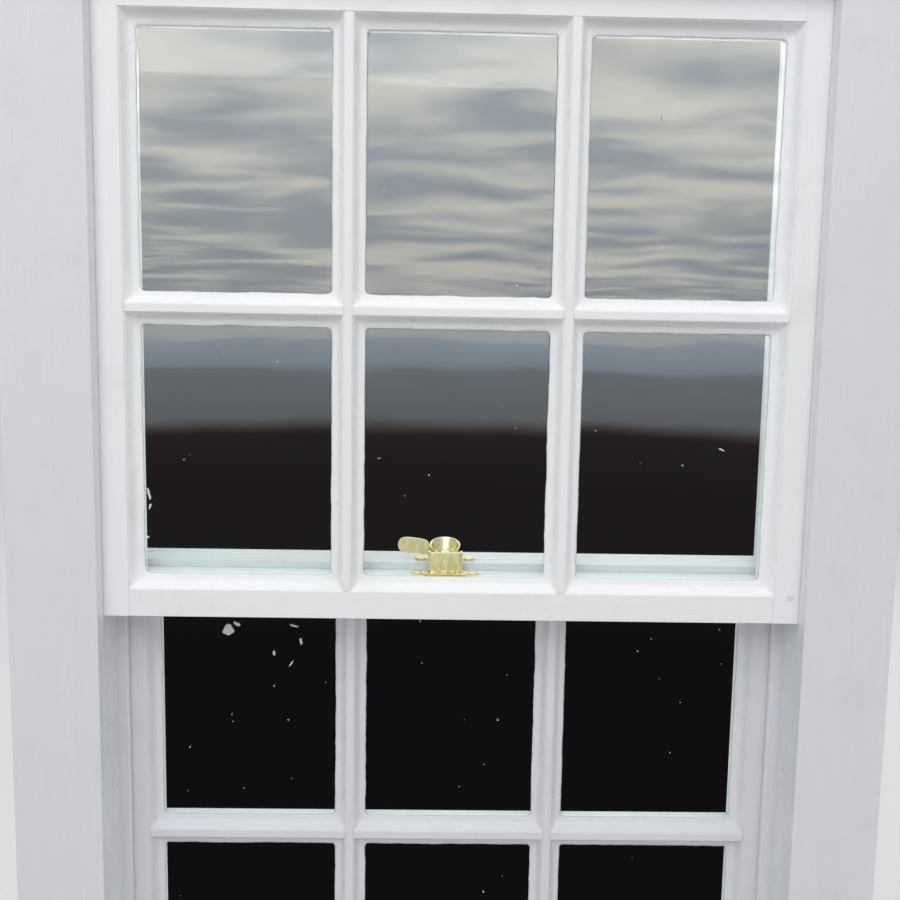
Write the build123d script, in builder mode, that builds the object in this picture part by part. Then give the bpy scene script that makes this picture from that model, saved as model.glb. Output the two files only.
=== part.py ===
"""Timber box sash window: two counterweighted sashes of six panes in their case, with a cam fastener.

X runs across the window, Y from the outside into the room and Z up. The origin lies on the
underside of the sill, midway across, in the plane of the outer linings' outside face.
Everything is in millimetres.
"""

from build123d import *
import os
from math import cos, pi, radians, sin, tan

os.makedirs("parts", exist_ok=True)

# Case, across the window
channel_width = 706.0
lining_overlap = 3.0
pulley_stile_thickness = 22.0
box_width = 50.0
back_lining_thickness = 8.0
lining_margin = 5.0

# Case, from the outside into the room
outer_lining_thickness = 18.0
inner_lining_thickness = 20.0
sash_thickness = 45.0
sash_play = 1.5
side_play = 1.0
parting_bead_thickness = 8.0
parting_bead_projection = 11.0
parting_groove_depth = 9.0
parting_bead_round = 2.0
staff_bead_width = 22.0
staff_bead_projection = 12.0
staff_bead_round = 7.0
staff_bead_lap = 6.0
tongue_size = 6.0

# Case, upwards
sill_height = 75.0
sill_slope = 9.0
sill_projection = 45.0
drip_radius = 4.0
drip_setback = 14.0
nosing_radius = 5.0
housing_depth = 8.0
head_thickness = 25.0
head_lining_height = 60.0
sill_bead_height = 24.0

# Sashes
stile_width = 39.0
rebate_width = 12.0
rebate_depth = 18.0
moulding_width = 11.0
moulding_fillet = 4.0
moulding_quirk = 1.5
moulding_nose = 2.0
pane_height = 252.0
bar_spacing = 216.0
bar_width = 30.5
bar_tongue = 8.5
top_rail_height = 45.0
meeting_rail_height = 40.0
bottom_rail_height = 85.0
meeting_step = 8.0
meeting_splay = 7.0
meeting_gap = 0.6
tenon_thickness = 15.0
tenon_lead = 3.0
tenon_shoulder = 10.0
tenon_end_play = 1.0
stub_tenon_thickness = 16.0
stub_tenon_setback = 2.0

# Glass and putty
glass_thickness = 4.0
glass_bed = 1.0
glass_play = 2.5
putty_land = 0.6
putty_lip = 0.06
putty_hollow = ((0.24, 0.355), (0.55, 0.742))

# Pulleys and cords
pulley_drop = 115.0
wheel_radius = 27.0
wheel_width = 11.0
wheel_web = 5.0
wheel_rim = 3.0
wheel_hub_radius = 9.0
wheel_groove_depth = 4.5
cord_radius = 3.0
cord_gap = 0.3
cord_proud = 6.0
pin_radius = 4.0
pin_play = 0.05
cheek_thickness = 2.5
cheek_play = 0.6
cheek_radius = 16.0
face_plate_width = 26.0
face_plate_height = 112.0
face_plate_thickness = 3.0
face_plate_corner = 2.0
plate_screw_spacing = 92.0
mortise_play = 0.5
screw_radius = 2.2
screw_head_radius = 4.2
cord_groove_play = 1.5
cord_groove_length = 245.0
knot_radius = 9.0
knot_depth = 22.0

# Weights, mid feathers and pocket pieces
weight_radius = 20.0
upper_weight_length = 460.0
lower_weight_length = 450.0
weight_eye_radius = 8.0
weight_eye_depth = 26.0
weight_shoulder = 14.0
weight_rounding = 3.0
upper_weight_drop = 600.0
lower_weight_drop = 70.0
feather_thickness = 5.0
feather_play = 2.0
feather_foot = 90.0
pocket_width = 40.0
pocket_height = 340.0
pocket_foot = 130.0
pocket_bevel = 12.0
pocket_play = 0.4
pocket_screw_inset = 24.0

# Cam fastener
fastener_x = -8.5
base_setback = 3.9
base_length = 64.0
base_width = 26.0
base_thickness = 2.5
lug_radius = 7.0
neck_width = 11.0
boss_radius = 10.0
boss_height = 1.1
fastener_head_radius = 3.2
cam_gap = 0.2
cam_foot_radius = 10.5
cam_rim_radius = 16.5
cam_wall = 2.0
cam_floor_thickness = 4.2
cam_depth = 8.7
cam_front_height = 5.2
cam_lip_wall = 2.5
cam_lip_spread = 15.0
cam_lip_thickness = 2.0
cam_lip_play = 1.8
lever_reach = 50.0
lever_thickness = 3.0
lever_offset = 10.0
lever_root = 4.0
lever_height = 12.2
lever_dip = 2.0
rivet_radius = 3.0
rivet_head_radius = 4.5
rivet_head_height = 1.8
rivet_head_round = 1.2
keep_length = 71.0
keep_width = 24.0
keep_wall = 3.0
keep_corner = 5.0
keep_front_play = 2.5
keep_side_play = 1.1
keep_top_play = 1.5
keep_cheek_setback = 2.0
hook_width = 9.0
hook_thickness = 2.4
hook_overhang = 0.5
hook_lift = 1.7
hook_lap = 2.0

# Places across the window
sides = {"left": -1, "right": 1}
face_x = channel_width / 2
sash_x = face_x - side_play
lining_x = face_x - lining_overlap
stile_back_x = face_x + pulley_stile_thickness
tongue_x = face_x + pulley_stile_thickness / 2
box_x = stile_back_x + box_width
case_x = box_x + back_lining_thickness + lining_margin
sight_x = sash_x - stile_width
bar_x = bar_spacing / 2
bead_x = face_x - parting_bead_projection
bead_groove_x = face_x + parting_groove_depth
staff_x = face_x - staff_bead_projection

# Places from the outside into the room
frame_y = outer_lining_thickness
upper_y = frame_y + sash_play
upper_back_y = upper_y + sash_thickness
parting_y = upper_back_y + sash_play
parting_mid_y = parting_y + parting_bead_thickness / 2
lower_y = parting_y + parting_bead_thickness + sash_play
sill_flat_y = lower_y + sash_thickness
staff_y = sill_flat_y + sash_play
inner_y = staff_y + staff_bead_lap
back_y = inner_y + inner_lining_thickness

# Heights
slope = tan(radians(sill_slope))
nosing_z = sill_height - (sill_flat_y + sill_projection) * slope
foot_z = sill_height - (sill_flat_y - frame_y) * slope - housing_depth
sash_glazing = 2 * pane_height + bar_width
lower_z = sill_height - sash_thickness * slope
lower_top_z = lower_z + bottom_rail_height + sash_glazing + meeting_rail_height
upper_z = lower_top_z - meeting_step - meeting_rail_height
head_z = upper_z + meeting_rail_height + sash_glazing + top_rail_height
head_top_z = head_z + head_thickness
case_top_z = head_z - lining_overlap + head_lining_height

# Pulleys, cords and weights
cord_bend = wheel_radius - wheel_groove_depth + cord_radius + cord_gap
cord_x = face_x - cord_proud
wheel_x = cord_x + cord_bend
weight_x = wheel_x + cord_bend
pulley_z = head_z - pulley_drop
pulley_y = {"upper": upper_y + sash_thickness / 2, "lower": lower_y + sash_thickness / 2}
sash_top_z = {"upper": head_z, "lower": lower_top_z}
knot_z = {sash: top - cord_groove_length for sash, top in sash_top_z.items()}
weight_top_z = {"upper": pulley_z - upper_weight_drop, "lower": pulley_z - lower_weight_drop}
weight_length = {"upper": upper_weight_length, "lower": lower_weight_length}
cheek_inner = wheel_width / 2 + cheek_play
cheek_outer = cheek_inner + cheek_thickness
cord_groove_half = wheel_width / 2 + cord_groove_play
cord_groove_depth = cord_proud - side_play + cord_radius + cord_gap
cord_outer = max(wheel_radius, cord_bend + cord_radius)


def save(part, node):
    """Label a finished piece and write it out."""
    part.label = node
    export_step(part, f"parts/{node}.step")


def block(x, y, z, mode=Mode.ADD):
    """Fill or cut the three ranges, each given as a pair, in the part being built."""
    ranges = [sorted(pair) for pair in (x, y, z)]
    with Locations(tuple(low for low, high in ranges)):
        Box(*(high - low for low, high in ranges), align=(Align.MIN,) * 3, mode=mode)


def around(middle, half):
    """The range that reaches half to each side of middle."""
    return middle - half, middle + half


def upright(y):
    """The upright plane at depth y, X across and Z up, facing out of the window."""
    return Plane(origin=(0, y, 0), x_dir=(1, 0, 0), z_dir=(0, -1, 0))


def side_plane(side, x, y, z):
    """An upright plane on one side of the window, facing its middle, Y across."""
    return Plane(origin=(side * x, y, z), x_dir=(0, 1, 0), z_dir=(-side, 0, 0))


def outline(plane, *points):
    """A straight-sided face through points in a plane."""
    with BuildSketch(plane) as shape:
        with BuildLine():
            Polyline(*points, close=True)
        make_face()
    return shape.sketch


def cut_sill_bed():
    """Trim the part being built to stand on the sill's weathered top."""
    bed = outline(
        Plane.YZ,
        (-sill_projection, -sill_height),
        (back_y, -sill_height),
        (back_y, sill_height),
        (sill_flat_y, sill_height),
        (-sill_projection, nosing_z),
    )
    extrude(bed, amount=case_x, both=True, mode=Mode.SUBTRACT)


# Sill: weathered top, rounded nosing, drip groove and housings for the pulley stiles
with BuildPart() as sill:
    with BuildSketch(Plane.YZ):
        with BuildLine():
            Polyline(
                (-sill_projection, 0),
                (back_y, 0),
                (back_y, sill_height),
                (sill_flat_y, sill_height),
                (-sill_projection, nosing_z),
                close=True,
            )
        make_face()
        with Locations((drip_setback - sill_projection, 0)):
            Circle(drip_radius, mode=Mode.SUBTRACT)
    extrude(amount=case_x, both=True)
    nosing = sill.edges().filter_by(Axis.X).group_by(Axis.Y)[0].sort_by(Axis.Z)[-1]
    fillet(nosing, nosing_radius)
    for side in sides.values():
        stile_range = (side * face_x, side * stile_back_x)
        block(stile_range, (frame_y, inner_y), (foot_z, sill_height), Mode.SUBTRACT)
save(sill.part, "sill")

# Head: housed for the pulley stiles, grooved for its bead, slotted for the mid feathers
bead_range = (parting_y, parting_y + parting_bead_thickness)
feather_range = around(parting_mid_y, feather_thickness / 2)
with BuildPart() as head:
    block((-box_x, box_x), (frame_y, inner_y), (head_z, head_top_z))
    block((-bead_x, bead_x), bead_range, (head_z, head_z + parting_groove_depth), Mode.SUBTRACT)
    for side in sides.values():
        stile_range = (side * face_x, side * stile_back_x)
        slot_range = (side * (stile_back_x + feather_play), side * (box_x - feather_play))
        block(stile_range, (frame_y, inner_y), (head_z, head_z + housing_depth), Mode.SUBTRACT)
        block(slot_range, feather_range, (head_z, head_top_z), Mode.SUBTRACT)
save(head.part, "head")


def pocket_shape(side, play):
    """The raking outline of a pocket piece, or of its hole when play is above zero."""
    low = foot_z + pocket_foot - play
    high = low + pocket_height + 2 * play
    return outline(
        upright(pulley_y["lower"]),
        (side * face_x, low),
        (side * stile_back_x, low + pocket_bevel),
        (side * stile_back_x, high + pocket_bevel),
        (side * face_x, high),
    )


def plate_shape(side, y):
    """The rounded outline of a pulley's face plate on the pulley stile."""
    with BuildSketch(side_plane(side, face_x, y, pulley_z)) as shape:
        RectangleRounded(face_plate_width, face_plate_height, face_plate_corner)
    return shape.sketch


# Pulley stiles and pocket pieces
for name, side in sides.items():
    stile_range = (side * face_x, side * stile_back_x)
    with BuildPart() as pulley_stile:
        block(stile_range, (frame_y, inner_y), (foot_z, head_z + housing_depth))
        tongue_range = around(side * tongue_x, tongue_size / 2)
        block(tongue_range, (frame_y - tongue_size, inner_y + tongue_size), (sill_height, head_z))
        groove_range = (side * face_x, side * bead_groove_x)
        block(groove_range, bead_range, (foot_z, head_z + housing_depth), Mode.SUBTRACT)
        for y in pulley_y.values():
            extrude(plate_shape(side, y), amount=-face_plate_thickness, mode=Mode.SUBTRACT)
            mortise_y = around(y, cheek_outer + mortise_play)
            mortise_z = around(pulley_z, cord_outer + mortise_play)
            block(stile_range, mortise_y, mortise_z, Mode.SUBTRACT)
        pocket_half = pocket_width / 2 + pocket_play
        extrude(pocket_shape(side, pocket_play), amount=pocket_half, both=True, mode=Mode.SUBTRACT)
    save(pulley_stile.part, f"pulley_stile_{name}")

    with BuildPart() as pocket_piece:
        extrude(pocket_shape(side, 0), amount=pocket_width / 2, both=True)
        screw_z = foot_z + pocket_foot + pocket_screw_inset
        with Locations(side_plane(side, face_x, pulley_y["lower"], screw_z)):
            CounterSinkHole(screw_radius, screw_head_radius, depth=pulley_stile_thickness)
    save(pocket_piece.part, f"pocket_piece_{name}")

# Outer and inner linings, grooved for the pulley stiles' tongues
for name, side in sides.items():
    tongue_range = around(side * tongue_x, tongue_size / 2)
    with BuildPart() as outer_lining:
        block((side * lining_x, side * case_x), (0, frame_y), (0, case_top_z))
        outer_groove = (frame_y - tongue_size, frame_y)
        block(tongue_range, outer_groove, (sill_height, head_z), Mode.SUBTRACT)
        cut_sill_bed()
    save(outer_lining.part, f"outer_lining_{name}")

    with BuildPart() as inner_lining:
        block((side * face_x, side * case_x), (inner_y, back_y), (sill_height, case_top_z))
        inner_groove = (inner_y, inner_y + tongue_size)
        block(tongue_range, inner_groove, (sill_height, head_z), Mode.SUBTRACT)
    save(inner_lining.part, f"inner_lining_{name}")

with BuildPart() as outer_lining_head:
    block((-lining_x, lining_x), (0, frame_y), (head_z - lining_overlap, case_top_z))
save(outer_lining_head.part, "outer_lining_head")

with BuildPart() as inner_lining_head:
    block((-face_x, face_x), (inner_y, back_y), (head_z, case_top_z))
save(inner_lining_head.part, "inner_lining_head")

with BuildPart() as back_linings:
    for side in sides.values():
        board = (side * box_x, side * (box_x + back_lining_thickness))
        block(board, (frame_y, inner_y), (0, head_top_z))
    cut_sill_bed()
save(back_linings.part, "back_linings")

with BuildPart() as mid_feathers:
    for side in sides.values():
        slip = (side * (stile_back_x + feather_play), side * (box_x - feather_play))
        block(slip, feather_range, (sill_height + feather_foot, head_top_z))
save(mid_feathers.part, "mid_feathers")

# Parting beads, rounded where they show
for name, side in sides.items():
    with BuildPart() as parting_bead:
        block((side * bead_x, side * bead_groove_x), bead_range, (0, head_z))
        nose = parting_bead.edges().filter_by(Axis.Z).sort_by(lambda e: abs(e.center().X))[:2]
        fillet(nose, parting_bead_round)
        cut_sill_bed()
    save(parting_bead.part, f"parting_bead_{name}")

with BuildPart() as parting_bead_head:
    head_bead_z = (head_z - parting_bead_projection, head_z + parting_groove_depth)
    block((-bead_x, bead_x), bead_range, head_bead_z)
    fillet(parting_bead_head.edges().filter_by(Axis.X).group_by(Axis.Z)[0], parting_bead_round)
save(parting_bead_head.part, "parting_bead_head")

# Staff beads, rounded towards the room and mitred at the head
staff_range = (staff_y, staff_y + staff_bead_width)
mitre_z = head_z - staff_bead_projection
for name, side in sides.items():
    with BuildPart() as staff_bead:
        block((side * staff_x, side * face_x), staff_range, (sill_height, head_z))
        nose = staff_bead.edges().filter_by(Axis.Z).group_by(Axis.Y)[-1]
        fillet(nose.sort_by(lambda e: abs(e.center().X))[0], staff_bead_round)
        beyond = outline(
            upright(staff_y),
            (side * staff_x, mitre_z),
            (side * face_x, head_z),
            (side * face_x, head_z + staff_bead_projection),
            (side * staff_x, head_z + staff_bead_projection),
        )
        extrude(beyond, amount=-staff_bead_width, mode=Mode.SUBTRACT)
    save(staff_bead.part, f"staff_bead_{name}")

with BuildPart() as staff_bead_head:
    trapezium = outline(
        upright(staff_y),
        (-face_x, head_z),
        (-staff_x, mitre_z),
        (staff_x, mitre_z),
        (face_x, head_z),
    )
    extrude(trapezium, amount=-staff_bead_width)
    lower_edges = staff_bead_head.edges().filter_by(Axis.X).group_by(Axis.Z)[0]
    fillet(lower_edges.sort_by(Axis.Y)[-1], staff_bead_round)
save(staff_bead_head.part, "staff_bead_head")

with BuildPart() as staff_bead_sill:
    block((-staff_x, staff_x), staff_range, (sill_height, sill_height + sill_bead_height))
    upper_edges = staff_bead_sill.edges().filter_by(Axis.X).group_by(Axis.Z)[-1]
    fillet(upper_edges.sort_by(Axis.Y)[-1], staff_bead_round)
save(staff_bead_sill.part, "staff_bead_sill")


# Axle pulleys: a slotted face plate with two cheeks, a turned wheel and its pin
def pulley_frame(side, y):
    """Add one pulley's face plate and cheeks to the part being built."""
    plate_back = face_x + face_plate_thickness
    cord_chord = (cord_outer**2 - (wheel_x - plate_back) ** 2) ** 0.5
    extrude(plate_shape(side, y), amount=-face_plate_thickness)
    slot_z = around(pulley_z, cord_chord + 2 * cheek_play)
    block((side * face_x, side * plate_back), around(y, cheek_inner), slot_z, Mode.SUBTRACT)
    for hand in (-1, 1):
        with BuildSketch(upright(y + hand * cheek_inner)) as cheek:
            with Locations((side * (plate_back + wheel_x) / 2, pulley_z)):
                Rectangle(wheel_x - plate_back, 2 * cheek_radius)
            with Locations((side * wheel_x, pulley_z)):
                Circle(cheek_radius)
                Circle(pin_radius + pin_play / 2, mode=Mode.SUBTRACT)
        extrude(cheek.sketch, amount=-hand * cheek_thickness)
    with Locations(side_plane(side, face_x, y, pulley_z)):
        with GridLocations(1, plate_screw_spacing, 1, 2):
            CounterSinkHole(screw_radius, screw_head_radius, depth=face_plate_thickness)


def wheel_section(axle):
    """Half section of a grooved wheel in the axle's plane, radius outwards."""
    bore, hub, web = pin_radius + pin_play, wheel_width / 2, wheel_web / 2
    rim = wheel_radius - wheel_groove_depth - wheel_rim
    with BuildSketch(axle) as section:
        with BuildLine():
            Polyline(
                (bore, -hub),
                (wheel_hub_radius, -hub),
                (wheel_hub_radius, -web),
                (rim, -web),
                (rim, -hub),
                (wheel_radius, -hub),
                (wheel_radius, hub),
                (rim, hub),
                (rim, web),
                (wheel_hub_radius, web),
                (wheel_hub_radius, hub),
                (bore, hub),
                close=True,
            )
        make_face()
        with Locations((cord_bend, 0)):
            Circle(cord_radius + cord_gap, mode=Mode.SUBTRACT)
    return section.sketch


with BuildPart() as pulley_pins:
    for side in sides.values():
        for y in pulley_y.values():
            with BuildSketch(upright(y)):
                with Locations((side * wheel_x, pulley_z)):
                    Circle(pin_radius)
            extrude(amount=cheek_outer, both=True)
save(pulley_pins.part, "pulley_pins")

for sash, y in pulley_y.items():
    with BuildPart() as pulley_frames:
        for side in sides.values():
            pulley_frame(side, y)
    save(pulley_frames.part, f"{sash}_pulley_frames")

    for name, side in sides.items():
        hub = (side * wheel_x, y, pulley_z)
        axle = Plane(origin=hub, x_dir=(side, 0, 0), z_dir=(0, 0, -side))
        with BuildPart() as wheel:
            revolve(wheel_section(axle), axis=Axis(hub, (0, 1, 0)))
        save(wheel.part, f"{sash}_wheel_{name}")

# Weights: cast cylinders, shouldered at the top, bored for the cord, with an eye for its knot
for sash, y in pulley_y.items():
    for name, side in sides.items():
        top, length = weight_top_z[sash], weight_length[sash]
        crown = (side * weight_x, y, top)
        with BuildPart() as weight:
            with BuildSketch(Plane(origin=crown, x_dir=(1, 0, 0), z_dir=(0, -1, 0))):
                with BuildLine():
                    Polyline(
                        (0, 0),
                        (weight_eye_radius, 0),
                        (weight_radius, -weight_shoulder),
                        (weight_radius, weight_rounding - length),
                        (weight_radius - weight_rounding, -length),
                        (0, -length),
                        close=True,
                    )
                make_face()
            revolve(axis=Axis(crown, (0, 0, 1)))
            with Locations(Plane(origin=crown)):
                Hole(cord_radius + cord_gap, depth=weight_eye_depth)
            with BuildSketch(side_plane(side, weight_x - weight_radius, y, top - weight_eye_depth)):
                SlotOverall(3 * weight_eye_radius, 2 * weight_eye_radius, rotation=90)
            extrude(amount=-weight_radius - weight_eye_radius, mode=Mode.SUBTRACT)
        save(weight.part, f"{sash}_weight_{name}")


# Cords: straight runs down to the sash and to the weight, and the bend over each wheel
def cord_run(x, y, low):
    """Add a straight cord from the pulleys' level down to low to the part being built."""
    with BuildSketch(Plane.XY.offset(low)) as end:
        with Locations((x, y)):
            Circle(cord_radius)
    extrude(end.sketch, amount=pulley_z - low)


with BuildPart() as cord_bends:
    for side in sides.values():
        for y in pulley_y.values():
            hub = (side * wheel_x, y, pulley_z)
            with BuildSketch(Plane(origin=hub)) as end:
                with Locations((cord_bend, 0)):
                    Circle(cord_radius)
            revolve(end.sketch, axis=Axis(hub, (0, -1, 0)), revolution_arc=180)
save(cord_bends.part, "cord_bends")

for sash, y in pulley_y.items():
    with BuildPart() as sash_cords:
        for side in sides.values():
            cord_run(side * cord_x, y, knot_z[sash])
    save(sash_cords.part, f"{sash}_sash_cords")
    for name, side in sides.items():
        with BuildPart() as weight_cord:
            cord_run(side * weight_x, y, weight_top_z[sash] - weight_eye_depth)
        save(weight_cord.part, f"{sash}_weight_cord_{name}")


# Sash members, each profile drawn from its outer edge inwards and from outside into the room
def member_plane(across, origin):
    """The plane of a member's section: its first axis along across, its second into the room."""
    return Plane(origin=origin, x_dir=across, z_dir=Vector(across).cross(Vector(0, 1, 0)))


def moulding(sight, inward):
    """The moulded edge from the rebate's back at the sight line to the room-side face."""
    fillet_y = rebate_depth + moulding_fillet
    nose_y = sash_thickness - moulding_nose
    start = (sight - inward * moulding_quirk, fillet_y)
    end = (sight - inward * (moulding_width - moulding_quirk), nose_y)
    run, rise = end[0] - start[0], end[1] - start[1]
    crest = (end[0] - run * cos(pi / 4), start[1] + rise * sin(pi / 4))
    shoulder = sight - inward * moulding_width
    Polyline((sight, rebate_depth), (sight, fillet_y), start)
    ThreePointArc(start, crest, end)
    Polyline(end, (shoulder, nose_y), (shoulder, sash_thickness))


def member_section(plane, width, moulded):
    """Section of a stile or rail: rebated outside, moulded or square towards the room."""
    arris = width - rebate_width
    with BuildSketch(plane) as section:
        with BuildLine():
            Polyline((0, 0), (arris, 0), (arris, rebate_depth), (width, rebate_depth))
            if moulded:
                moulding(width, 1)
                Line((width - moulding_width, sash_thickness), (0, sash_thickness))
            else:
                Polyline((width, rebate_depth), (width, sash_thickness), (0, sash_thickness))
            Line((0, sash_thickness), (0, 0))
        make_face()
    return section.sketch


def bar_section(plane):
    """Section of a glazing bar: tongue between the panes, mouldings towards the room."""
    half, tongue = bar_width / 2, bar_tongue / 2
    nose = half - moulding_width
    with BuildSketch(plane) as section:
        with BuildLine():
            Polyline((-half, rebate_depth), (-tongue, rebate_depth), (-tongue, 0), (tongue, 0),
                     (tongue, rebate_depth), (half, rebate_depth))
            moulding(half, 1)
            moulding(-half, -1)
            Line((-nose, sash_thickness), (nose, sash_thickness))
        make_face()
    return section.sketch


def cut_stub_mortise(x, y, z):
    """Cut the shallow mortise that a glazing bar's stub tenon fills."""
    front = y + rebate_depth + stub_tenon_setback
    block(x, (front, front + stub_tenon_thickness), z, Mode.SUBTRACT)


def sash_stile(side, sash, y, levels, mortises):
    """A stile, mortised for its rails and cross bar and grooved for the cord."""
    low, high = levels["foot"], levels["top"]
    with BuildPart() as stile:
        plane = member_plane((-side, 0, 0), (side * sash_x, y, (low + high) / 2))
        extrude(member_section(plane, stile_width, True), amount=(high - low) / 2, both=True)
        tenon_front = y + rebate_depth - tenon_lead
        for mortise_z in mortises:
            block((side * (sight_x - tenon_end_play), side * sash_x),
                  (tenon_front, tenon_front + tenon_thickness), mortise_z, Mode.SUBTRACT)
        stub_range = (side * (sight_x - tenon_end_play), side * (sight_x + rebate_width))
        cut_stub_mortise(stub_range, y, around(levels["bar"], bar_tongue / 2))
        groove_range = (side * sash_x, side * (sash_x - cord_groove_depth))
        groove_y = around(pulley_y[sash], cord_groove_half)
        block(groove_range, groove_y, (knot_z[sash], high), Mode.SUBTRACT)
        with Locations(side_plane(-side, -sash_x, pulley_y[sash], knot_z[sash])):
            Hole(knot_radius, depth=knot_depth)
        cut_sill_bed()
    return stile.part


def sash_rail(y, edge, up, width, stiles, moulded, lap, sash):
    """A rail from stile to stile, tenoned and scribed to them, with its lap if it has one."""
    sight = edge + up * width
    with BuildPart() as rail:
        plane = member_plane((0, 0, up), (0, y, edge))
        extrude(member_section(plane, width, moulded), amount=sash_x, both=True)
        if lap:
            extrude(outline(Plane.YZ, *lap), amount=bead_x - sash_play, both=True)
        for hand in (-1, 1):
            stub_z = (sight + up, sight - up * rebate_width)
            cut_stub_mortise(around(hand * bar_x, bar_tongue / 2), y, stub_z)
            groove_range = (hand * sash_x, hand * (sash_x - cord_groove_depth))
            groove_y = around(pulley_y[sash], cord_groove_half)
            block(groove_range, groove_y, (knot_z[sash], sash_top_z[sash]), Mode.SUBTRACT)
        for stile in stiles:
            add(stile, mode=Mode.SUBTRACT)
        cut_sill_bed()
    return rail.part


def pane_openings(levels):
    """Rebate and sight rectangles of every pane, each as x low, x high, z low, z high."""
    half, tongue = bar_width / 2, bar_tongue / 2
    columns = (
        ((-sight_x - rebate_width, -bar_x - tongue), (-sight_x, -bar_x - half)),
        (around(0, bar_x - tongue), around(0, bar_x - half)),
        ((bar_x + tongue, sight_x + rebate_width), (bar_x + half, sight_x)),
    )
    rows = (
        ((levels["low sight"] - rebate_width, levels["bar"] - tongue),
         (levels["low sight"], levels["bar"] - half)),
        ((levels["bar"] + tongue, levels["high sight"] + rebate_width),
         (levels["bar"] + half, levels["high sight"])),
    )
    return [(across + up, clear_across + clear_up)
            for across, clear_across in columns for up, clear_up in rows]


def pane_block(rebate, y, mode=Mode.ADD):
    """Fill or cut one pane, which has play all round in its rebate."""
    left, right, low, high = rebate
    front = y + rebate_depth - glass_bed - glass_thickness
    block((left + glass_play, right - glass_play), (front, front + glass_thickness),
          (low + glass_play, high - glass_play), mode)


def putty_ring(rebate, sight, y):
    """One pane's bed of putty and the hollow fillet that holds it in from outside."""
    glass_y = y + rebate_depth - glass_bed - glass_thickness
    land_y = y + putty_land
    curve = [(across, land_y + back * (glass_y - land_y)) for across, back in putty_hollow]
    hollow = ((putty_lip, land_y), *curve, (1.0, glass_y))
    with BuildPart() as ring:
        left, right, low, high = rebate
        block((left, right), (land_y, y + rebate_depth), (low, high))
        faces = []
        for share, depth in hollow:
            x0, x1, z0, z1 = (a + share * (b - a) for a, b in zip(rebate, sight))
            faces.append(outline(upright(depth), (x0, z0), (x1, z0), (x1, z1), (x0, z1)))
        loft(faces, ruled=True, mode=Mode.SUBTRACT)
        left, right, low, high = sight
        block((left, right), (glass_y, y + rebate_depth), (low, high), Mode.SUBTRACT)
        pane_block(rebate, y, Mode.SUBTRACT)
    return ring.part


def build_sash(sash, y, levels, low_rail, high_rail, mortises):
    """Make and write out every piece of one sash; its rails as name, height, moulded, lap."""
    stiles = [sash_stile(side, sash, y, levels, mortises) for side in sides.values()]
    for name, stile in zip(sides, stiles):
        save(stile, f"{sash}_stile_{name}")

    rails = []
    for edge, up, (name, height, moulded, lap) in (
        (levels["foot"], 1, low_rail),
        (levels["top"], -1, high_rail),
    ):
        rails.append(sash_rail(y, edge, up, height, stiles, moulded, lap, sash))
        save(rails[-1], f"{sash}_{name}")

    with BuildPart() as upright_bars:
        half = (levels["high sight"] - levels["low sight"]) / 2 + rebate_width
        for hand in (-1, 1):
            plane = member_plane((1, 0, 0), (hand * bar_x, y, levels["bar"]))
            extrude(bar_section(plane), amount=half, both=True)
        for rail in rails:
            add(rail, mode=Mode.SUBTRACT)
    save(upright_bars.part, f"{sash}_upright_bars")

    with BuildPart() as cross_bars:
        plane = member_plane((0, 0, 1), (0, y, levels["bar"]))
        extrude(bar_section(plane), amount=sight_x + rebate_width, both=True)
        for neighbour in stiles + [upright_bars.part]:
            add(neighbour, mode=Mode.SUBTRACT)
    save(cross_bars.part, f"{sash}_cross_bars")

    with BuildPart() as panes:
        for rebate, sight in pane_openings(levels):
            pane_block(rebate, y)
    save(panes.part, f"{sash}_panes")

    rings = [putty_ring(rebate, sight, y) for rebate, sight in pane_openings(levels)]
    with BuildPart() as putty:
        add(rings)
    save(putty.part, f"{sash}_putty")


def sash_levels(foot, low_height, high_height):
    """A sash's heights: foot, sight lines, middle of the cross bar and top."""
    low_sight = foot + low_height
    high_sight = low_sight + sash_glazing
    return {
        "foot": foot,
        "low sight": low_sight,
        "bar": (low_sight + high_sight) / 2,
        "high sight": high_sight,
        "top": high_sight + high_height,
    }


# The meeting rails lap behind the parting bead along one splayed joint
def splay_y(z):
    """Depth of the joint between the meeting rails at height z."""
    share = (z - upper_z) / (lower_top_z - upper_z)
    return parting_mid_y + meeting_splay * (0.5 - share)


upper_levels = sash_levels(upper_z, meeting_rail_height, top_rail_height)
lower_levels = sash_levels(lower_z, bottom_rail_height, meeting_rail_height)
upper_rail_top_z = upper_levels["low sight"]
lap_foot_z = lower_levels["high sight"] + rebate_width
upper_lap = (
    (upper_back_y, upper_z),
    (splay_y(upper_z), upper_z),
    (splay_y(upper_rail_top_z), upper_rail_top_z),
    (upper_back_y, upper_rail_top_z),
)
lower_lap = (
    (lower_y, lap_foot_z),
    (splay_y(lap_foot_z) + meeting_gap, lap_foot_z),
    (splay_y(lower_top_z) + meeting_gap, lower_top_z),
    (lower_y, lower_top_z),
)
build_sash(
    "upper", upper_y, upper_levels,
    ("meeting_rail", meeting_rail_height, False, upper_lap),
    ("top_rail", top_rail_height, True, None),
    (
        (upper_levels["foot"], upper_levels["low sight"] - tenon_shoulder),
        (upper_levels["high sight"] + tenon_shoulder, upper_levels["top"] - tenon_shoulder),
    ),
)
build_sash(
    "lower", lower_y, lower_levels,
    ("bottom_rail", bottom_rail_height, True, None),
    ("meeting_rail", meeting_rail_height, True, lower_lap),
    (
        (sill_height + tenon_shoulder, lower_levels["low sight"] - tenon_shoulder),
        (lower_levels["high sight"] + tenon_shoulder, lower_levels["top"]),
    ),
)

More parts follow.
